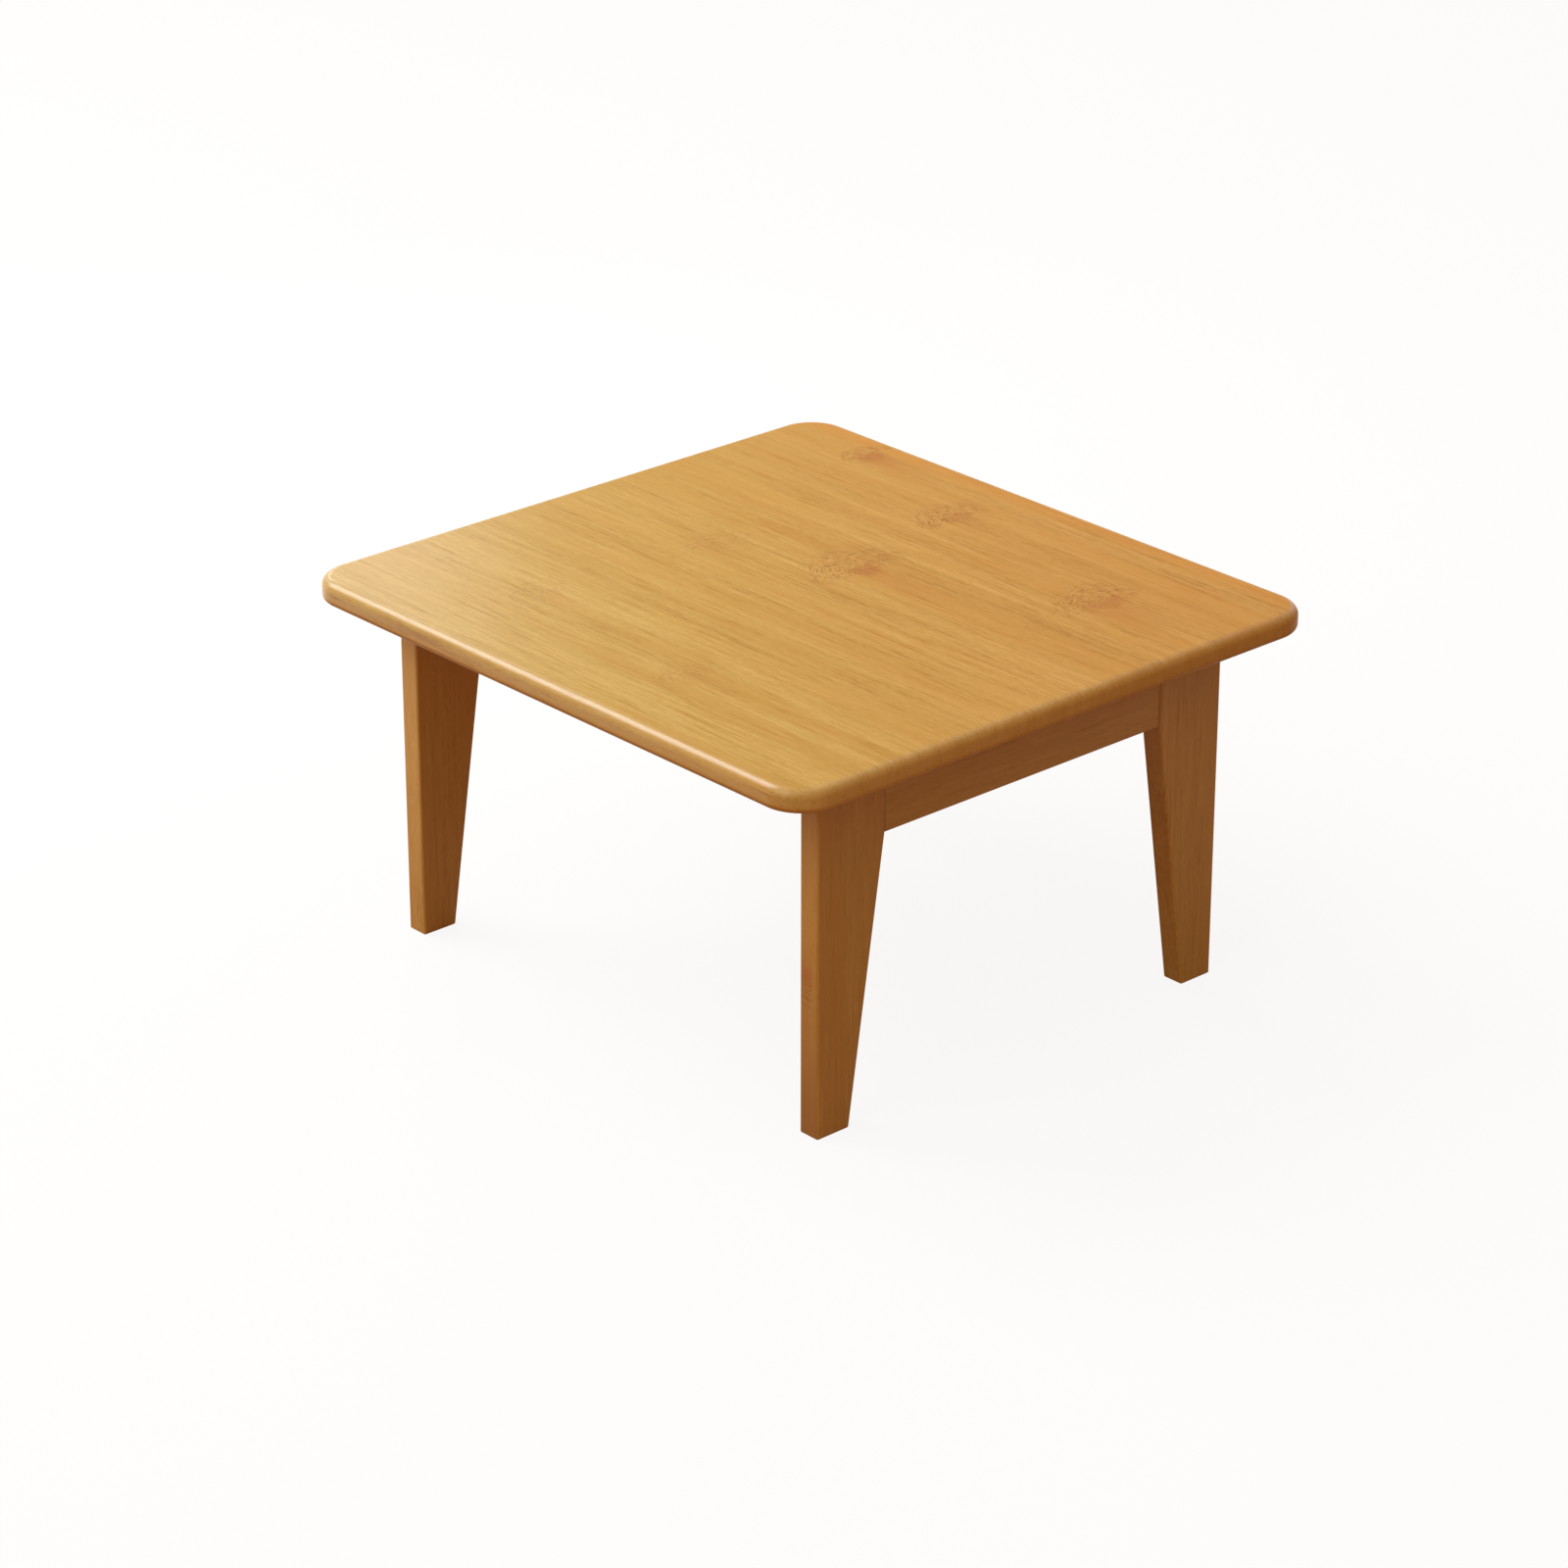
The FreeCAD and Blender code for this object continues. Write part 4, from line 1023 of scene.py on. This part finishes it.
# %% Screws
HEAD_RADIUS = 0.0035
HEAD_HEIGHT = 0.0019
HEAD_RIM_INSET = 0.0001
HEAD_RIM_DROP = 0.00006
PAN_RADIUS = 0.0034
PAN_HEIGHT = 0.002
PAN_DOME = 0.6
PAN_TURN = math.radians(50)
SHANK_RADIUS = 0.0016
RECESS_REACH = 0.0019
RECESS_WAIST = 0.0007
RECESS_DEPTH = 0.0013
RECESS_POWER = 6
RECESS_SHARES = np.array([0.15, 0.55, 0.90, 1.0])
RECESS_DEPTHS = np.array([1.0, 0.75, 0.15, 0.0])
NECK_SHARE = 0.3
THREAD_PITCH = 0.0015
THREAD_ROWS = 5
THREAD_DEPTH = 0.24
POINT_LENGTH = 0.004
POINT_TIP = 0.04


def screw_rows(length, pan):
    """Depth and radius from the floor of the recess, over the head and down to the point."""
    lobes = np.abs(np.cos(2 * TURNS)) ** RECESS_POWER
    lobes = RECESS_WAIST + (RECESS_REACH - RECESS_WAIST) * lobes
    depth = list(RECESS_DEPTH * RECESS_DEPTHS)
    radius = [share * lobes for share in RECESS_SHARES]
    if pan:
        rise = np.linspace(PAN_TURN, 0, DOME_STEPS)
        dome = PAN_HEIGHT * PAN_DOME * (1 - np.sin(rise) / math.sin(PAN_TURN))
        depth += [*dome, PAN_HEIGHT, PAN_HEIGHT]
        outer = [*(PAN_RADIUS * np.cos(rise)), PAN_RADIUS, SHANK_RADIUS]
        neck = PAN_HEIGHT
    else:
        depth += [0.0, HEAD_RIM_DROP, HEAD_HEIGHT]
        outer = [HEAD_RADIUS - HEAD_RIM_INSET, HEAD_RADIUS, SHANK_RADIUS]
        neck = HEAD_HEIGHT
    thread_from = neck + (length - neck) * NECK_SHARE
    thread = np.arange(thread_from, length, THREAD_PITCH / THREAD_ROWS)
    taper = np.clip((length - thread) / POINT_LENGTH, POINT_TIP, 1)
    climb = thread[:, None] / THREAD_PITCH - TURNS / (2 * math.pi)
    ridge = np.maximum(np.cos(2 * math.pi * climb), 0) ** 2
    depth = np.concatenate([depth, thread])
    heads = np.stack([value * np.ones(TURN_COLUMNS) for value in radius + outer])
    threads = SHANK_RADIUS * taper[:, None] * (1 - THREAD_DEPTH + THREAD_DEPTH * ridge)
    return depth, np.concatenate([heads, threads])


def place_screw(length, pan, spot, into, angle):
    """A screw with its head at a spot and its point in the wood, turned by an angle."""
    depth, radius = screw_rows(length, pan)
    level = Y if into[2] else Z
    side = math.cos(angle) * X + math.sin(angle) * level
    return carried(turned(radius), side, np.cross(into, side), into, spot, depth)


LEAF_SCREW = 0.0155
BATTEN_SCREW = 0.026
CATCH_SCREW = 0.014
LEAF_FACE = 0.0019
LEAF_SPOTS = ((-0.018, 0.0105), (0.0, 0.018), (0.018, 0.0105))
BATTEN_SPOTS = (-0.112, -0.040, 0.040, 0.112)
CATCH_SPREAD = 0.008
CATCH_PLATE = 0.024
rng = np.random.default_rng(7)


def make_screws(node, body, length, pan, spots, into):
    """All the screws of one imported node, as one piece."""
    grids = []
    for spot in spots:
        angle = rng.uniform(0, math.pi / 2)
        grids.append(place_screw(length, pan, spot, into, angle))
    piece = closed_piece(node + "_turned", grids, screw_zinc, body)
    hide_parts(node)
    return piece


def make_all_screws():
    """Every spot is worked out from the hinge, batten or catch that the screw holds."""
    top, pieces = [], []
    for end, sign in ENDS:
        leg = []
        for side in SIDES:
            low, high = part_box(f"{end}_{side}_hinge_pin")
            middle = np.array((low + high) / 2)
            for x, down in LEAF_SPOTS:
                top.append(middle + (x, -sign * down, LEAF_FACE))
                leg.append(middle + (x, sign * LEAF_FACE, -down))
        node, body = f"{end}_leg_leaf_screws", f"{end}_frame"
        into = np.array([0.0, sign, 0.0])
        pieces.append(make_screws(node, body, LEAF_SCREW, False, leg, into))
    battens, catches = [], []
    for end, sign in ENDS:
        low, high = (np.array(p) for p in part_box(f"{end}_batten"))
        battens += [np.array([x, (low[1] + high[1]) / 2, low[2]]) for x in BATTEN_SPOTS]
        low, high = (np.array(p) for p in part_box(f"{end}_catch_spring"))
        y = (high[1] if sign < 0 else low[1]) + sign * CATCH_PLATE / 2
        pan_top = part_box("catch_screws")[0].z
        catches += [np.array([x, y, pan_top]) for x in (-CATCH_SPREAD, CATCH_SPREAD)]
    pieces.append(make_screws("top_leaf_screws", "top", LEAF_SCREW, False, top, Z))
    pieces.append(make_screws("batten_screws", "top", BATTEN_SCREW, False, battens, Z))
    pieces.append(make_screws("catch_screws", "top", CATCH_SCREW, True, catches, Z))
    return pieces


screws = make_all_screws()
print(len(screws), "groups of screws,", sum(len(piece.data.polygons) for piece in screws), "faces")

# %% [markdown]
# A catch is a strip of spring steel, bent twice. A rounded section is carried along the bent
# path, and the strip narrows to round corners at both ends. When a frame folds, its apron
# presses the catch up.

# %% Catch springs
CATCH_LIP = 0.014
CATCH_ROOT = 0.0085
CATCH_ARM = 0.056
STRIP_THICKNESS = 0.001
STRIP_ARRIS = 0.00015
CATCH_BENDS = (0.002, 0.012)
PLATE_CORNER = 0.004
LIP_CORNER = 0.0015
STATION_STEP = 0.0009
BEND_STEPS = 12
LIP_STEPS = 6
PLATE_STEPS = 9
STRIP_STEPS = 4


def bent_path(corners, bends):
    """Runs joined by arcs: a bend of radius r starts r tan(turn / 2) before its corner."""
    path = [corners[0]]
    for before, corner, after, radius in zip(corners, corners[1:], corners[2:], bends):
        back = (before - corner) / np.linalg.norm(before - corner)
        onward = (after - corner) / np.linalg.norm(after - corner)
        half = math.acos(float(np.clip(back @ onward, -1, 1))) / 2
        bisector = (back + onward) / np.linalg.norm(back + onward)
        centre = corner + bisector * radius / math.sin(half)
        start = corner + back * radius / math.tan(half) - centre
        stop = corner + onward * radius / math.tan(half) - centre
        share = np.linspace(0, 1, BEND_STEPS)[:, None]
        swing = math.pi - 2 * half
        arc = np.sin((1 - share) * swing) * start + np.sin(share * swing) * stop
        path += list(centre + arc / math.sin(swing))
    path.append(corners[-1])
    return np.array(path)


def set_back(reach, radius):
    """How far a round corner stands back at a reach past its tangent point."""
    return radius - np.sqrt(np.maximum(radius**2 - np.maximum(reach, 0) ** 2, 0))


def strip_rows(path, half_width):
    """The section at each station: point = path(s) + a X + b normal(s)."""
    run = np.concatenate([[0], np.cumsum(np.linalg.norm(np.diff(path, axis=0), axis=1))])
    lead = LIP_CORNER * (1 - np.cos(np.linspace(0, math.pi / 2, LIP_STEPS)))
    trail = PLATE_CORNER * (1 - np.cos(np.linspace(math.pi / 2, 0, PLATE_STEPS)))
    body = np.arange(LIP_CORNER + STATION_STEP, run[-1] - PLATE_CORNER, STATION_STEP)
    station = np.concatenate([lead, body, run[-1] - trail])
    spot = np.stack([np.interp(station, run, path[:, k]) for k in range(2)], axis=-1)
    ahead = np.gradient(spot, station, axis=0)
    ahead /= np.linalg.norm(ahead, axis=1)[:, None]
    lip = set_back(LIP_CORNER - station, LIP_CORNER)
    plate = set_back(station - run[-1] + PLATE_CORNER, PLATE_CORNER)
    width = half_width - lip - plate
    thick = np.full(len(station), STRIP_THICKNESS / 2)
    outline = rounded_outline(width, thick, STRIP_ARRIS, STRIP_STEPS, STRIP_ARRIS / 2)
    a, b = outline[..., 0], outline[..., 1]
    y = spot[:, None, 0] - b * ahead[:, None, 1]
    z = spot[:, None, 1] + b * ahead[:, None, 0]
    return np.stack([a, y, z], axis=-1)


def make_catch(end, sign):
    """The lip stands behind the apron, and the plate lies under the top."""
    node = f"{end}_catch_spring"
    low, high = (np.array(p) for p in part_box(node))
    face = low[1] if sign < 0 else high[1]
    half = STRIP_THICKNESS / 2
    length = high[1] - low[1]
    lip = [[half, -CATCH_LIP], [half, -CATCH_ROOT]]
    corners = np.array([*lip, [CATCH_ARM, -half], [length, -half]])
    rows = strip_rows(bent_path(corners, CATCH_BENDS), (high[0] - low[0]) / 2)
    rows = rows * (1, -sign, 1) + (0, face, high[2])
    piece = closed_piece(f"{end}_catch_strip", [rows], spring, "top")
    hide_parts(node)
    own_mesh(piece)
    return piece


catches = [make_catch(end, sign) for end, sign in ENDS]
print(len(catches), "catch springs,", len(catches[0].data.polygons), "faces each")
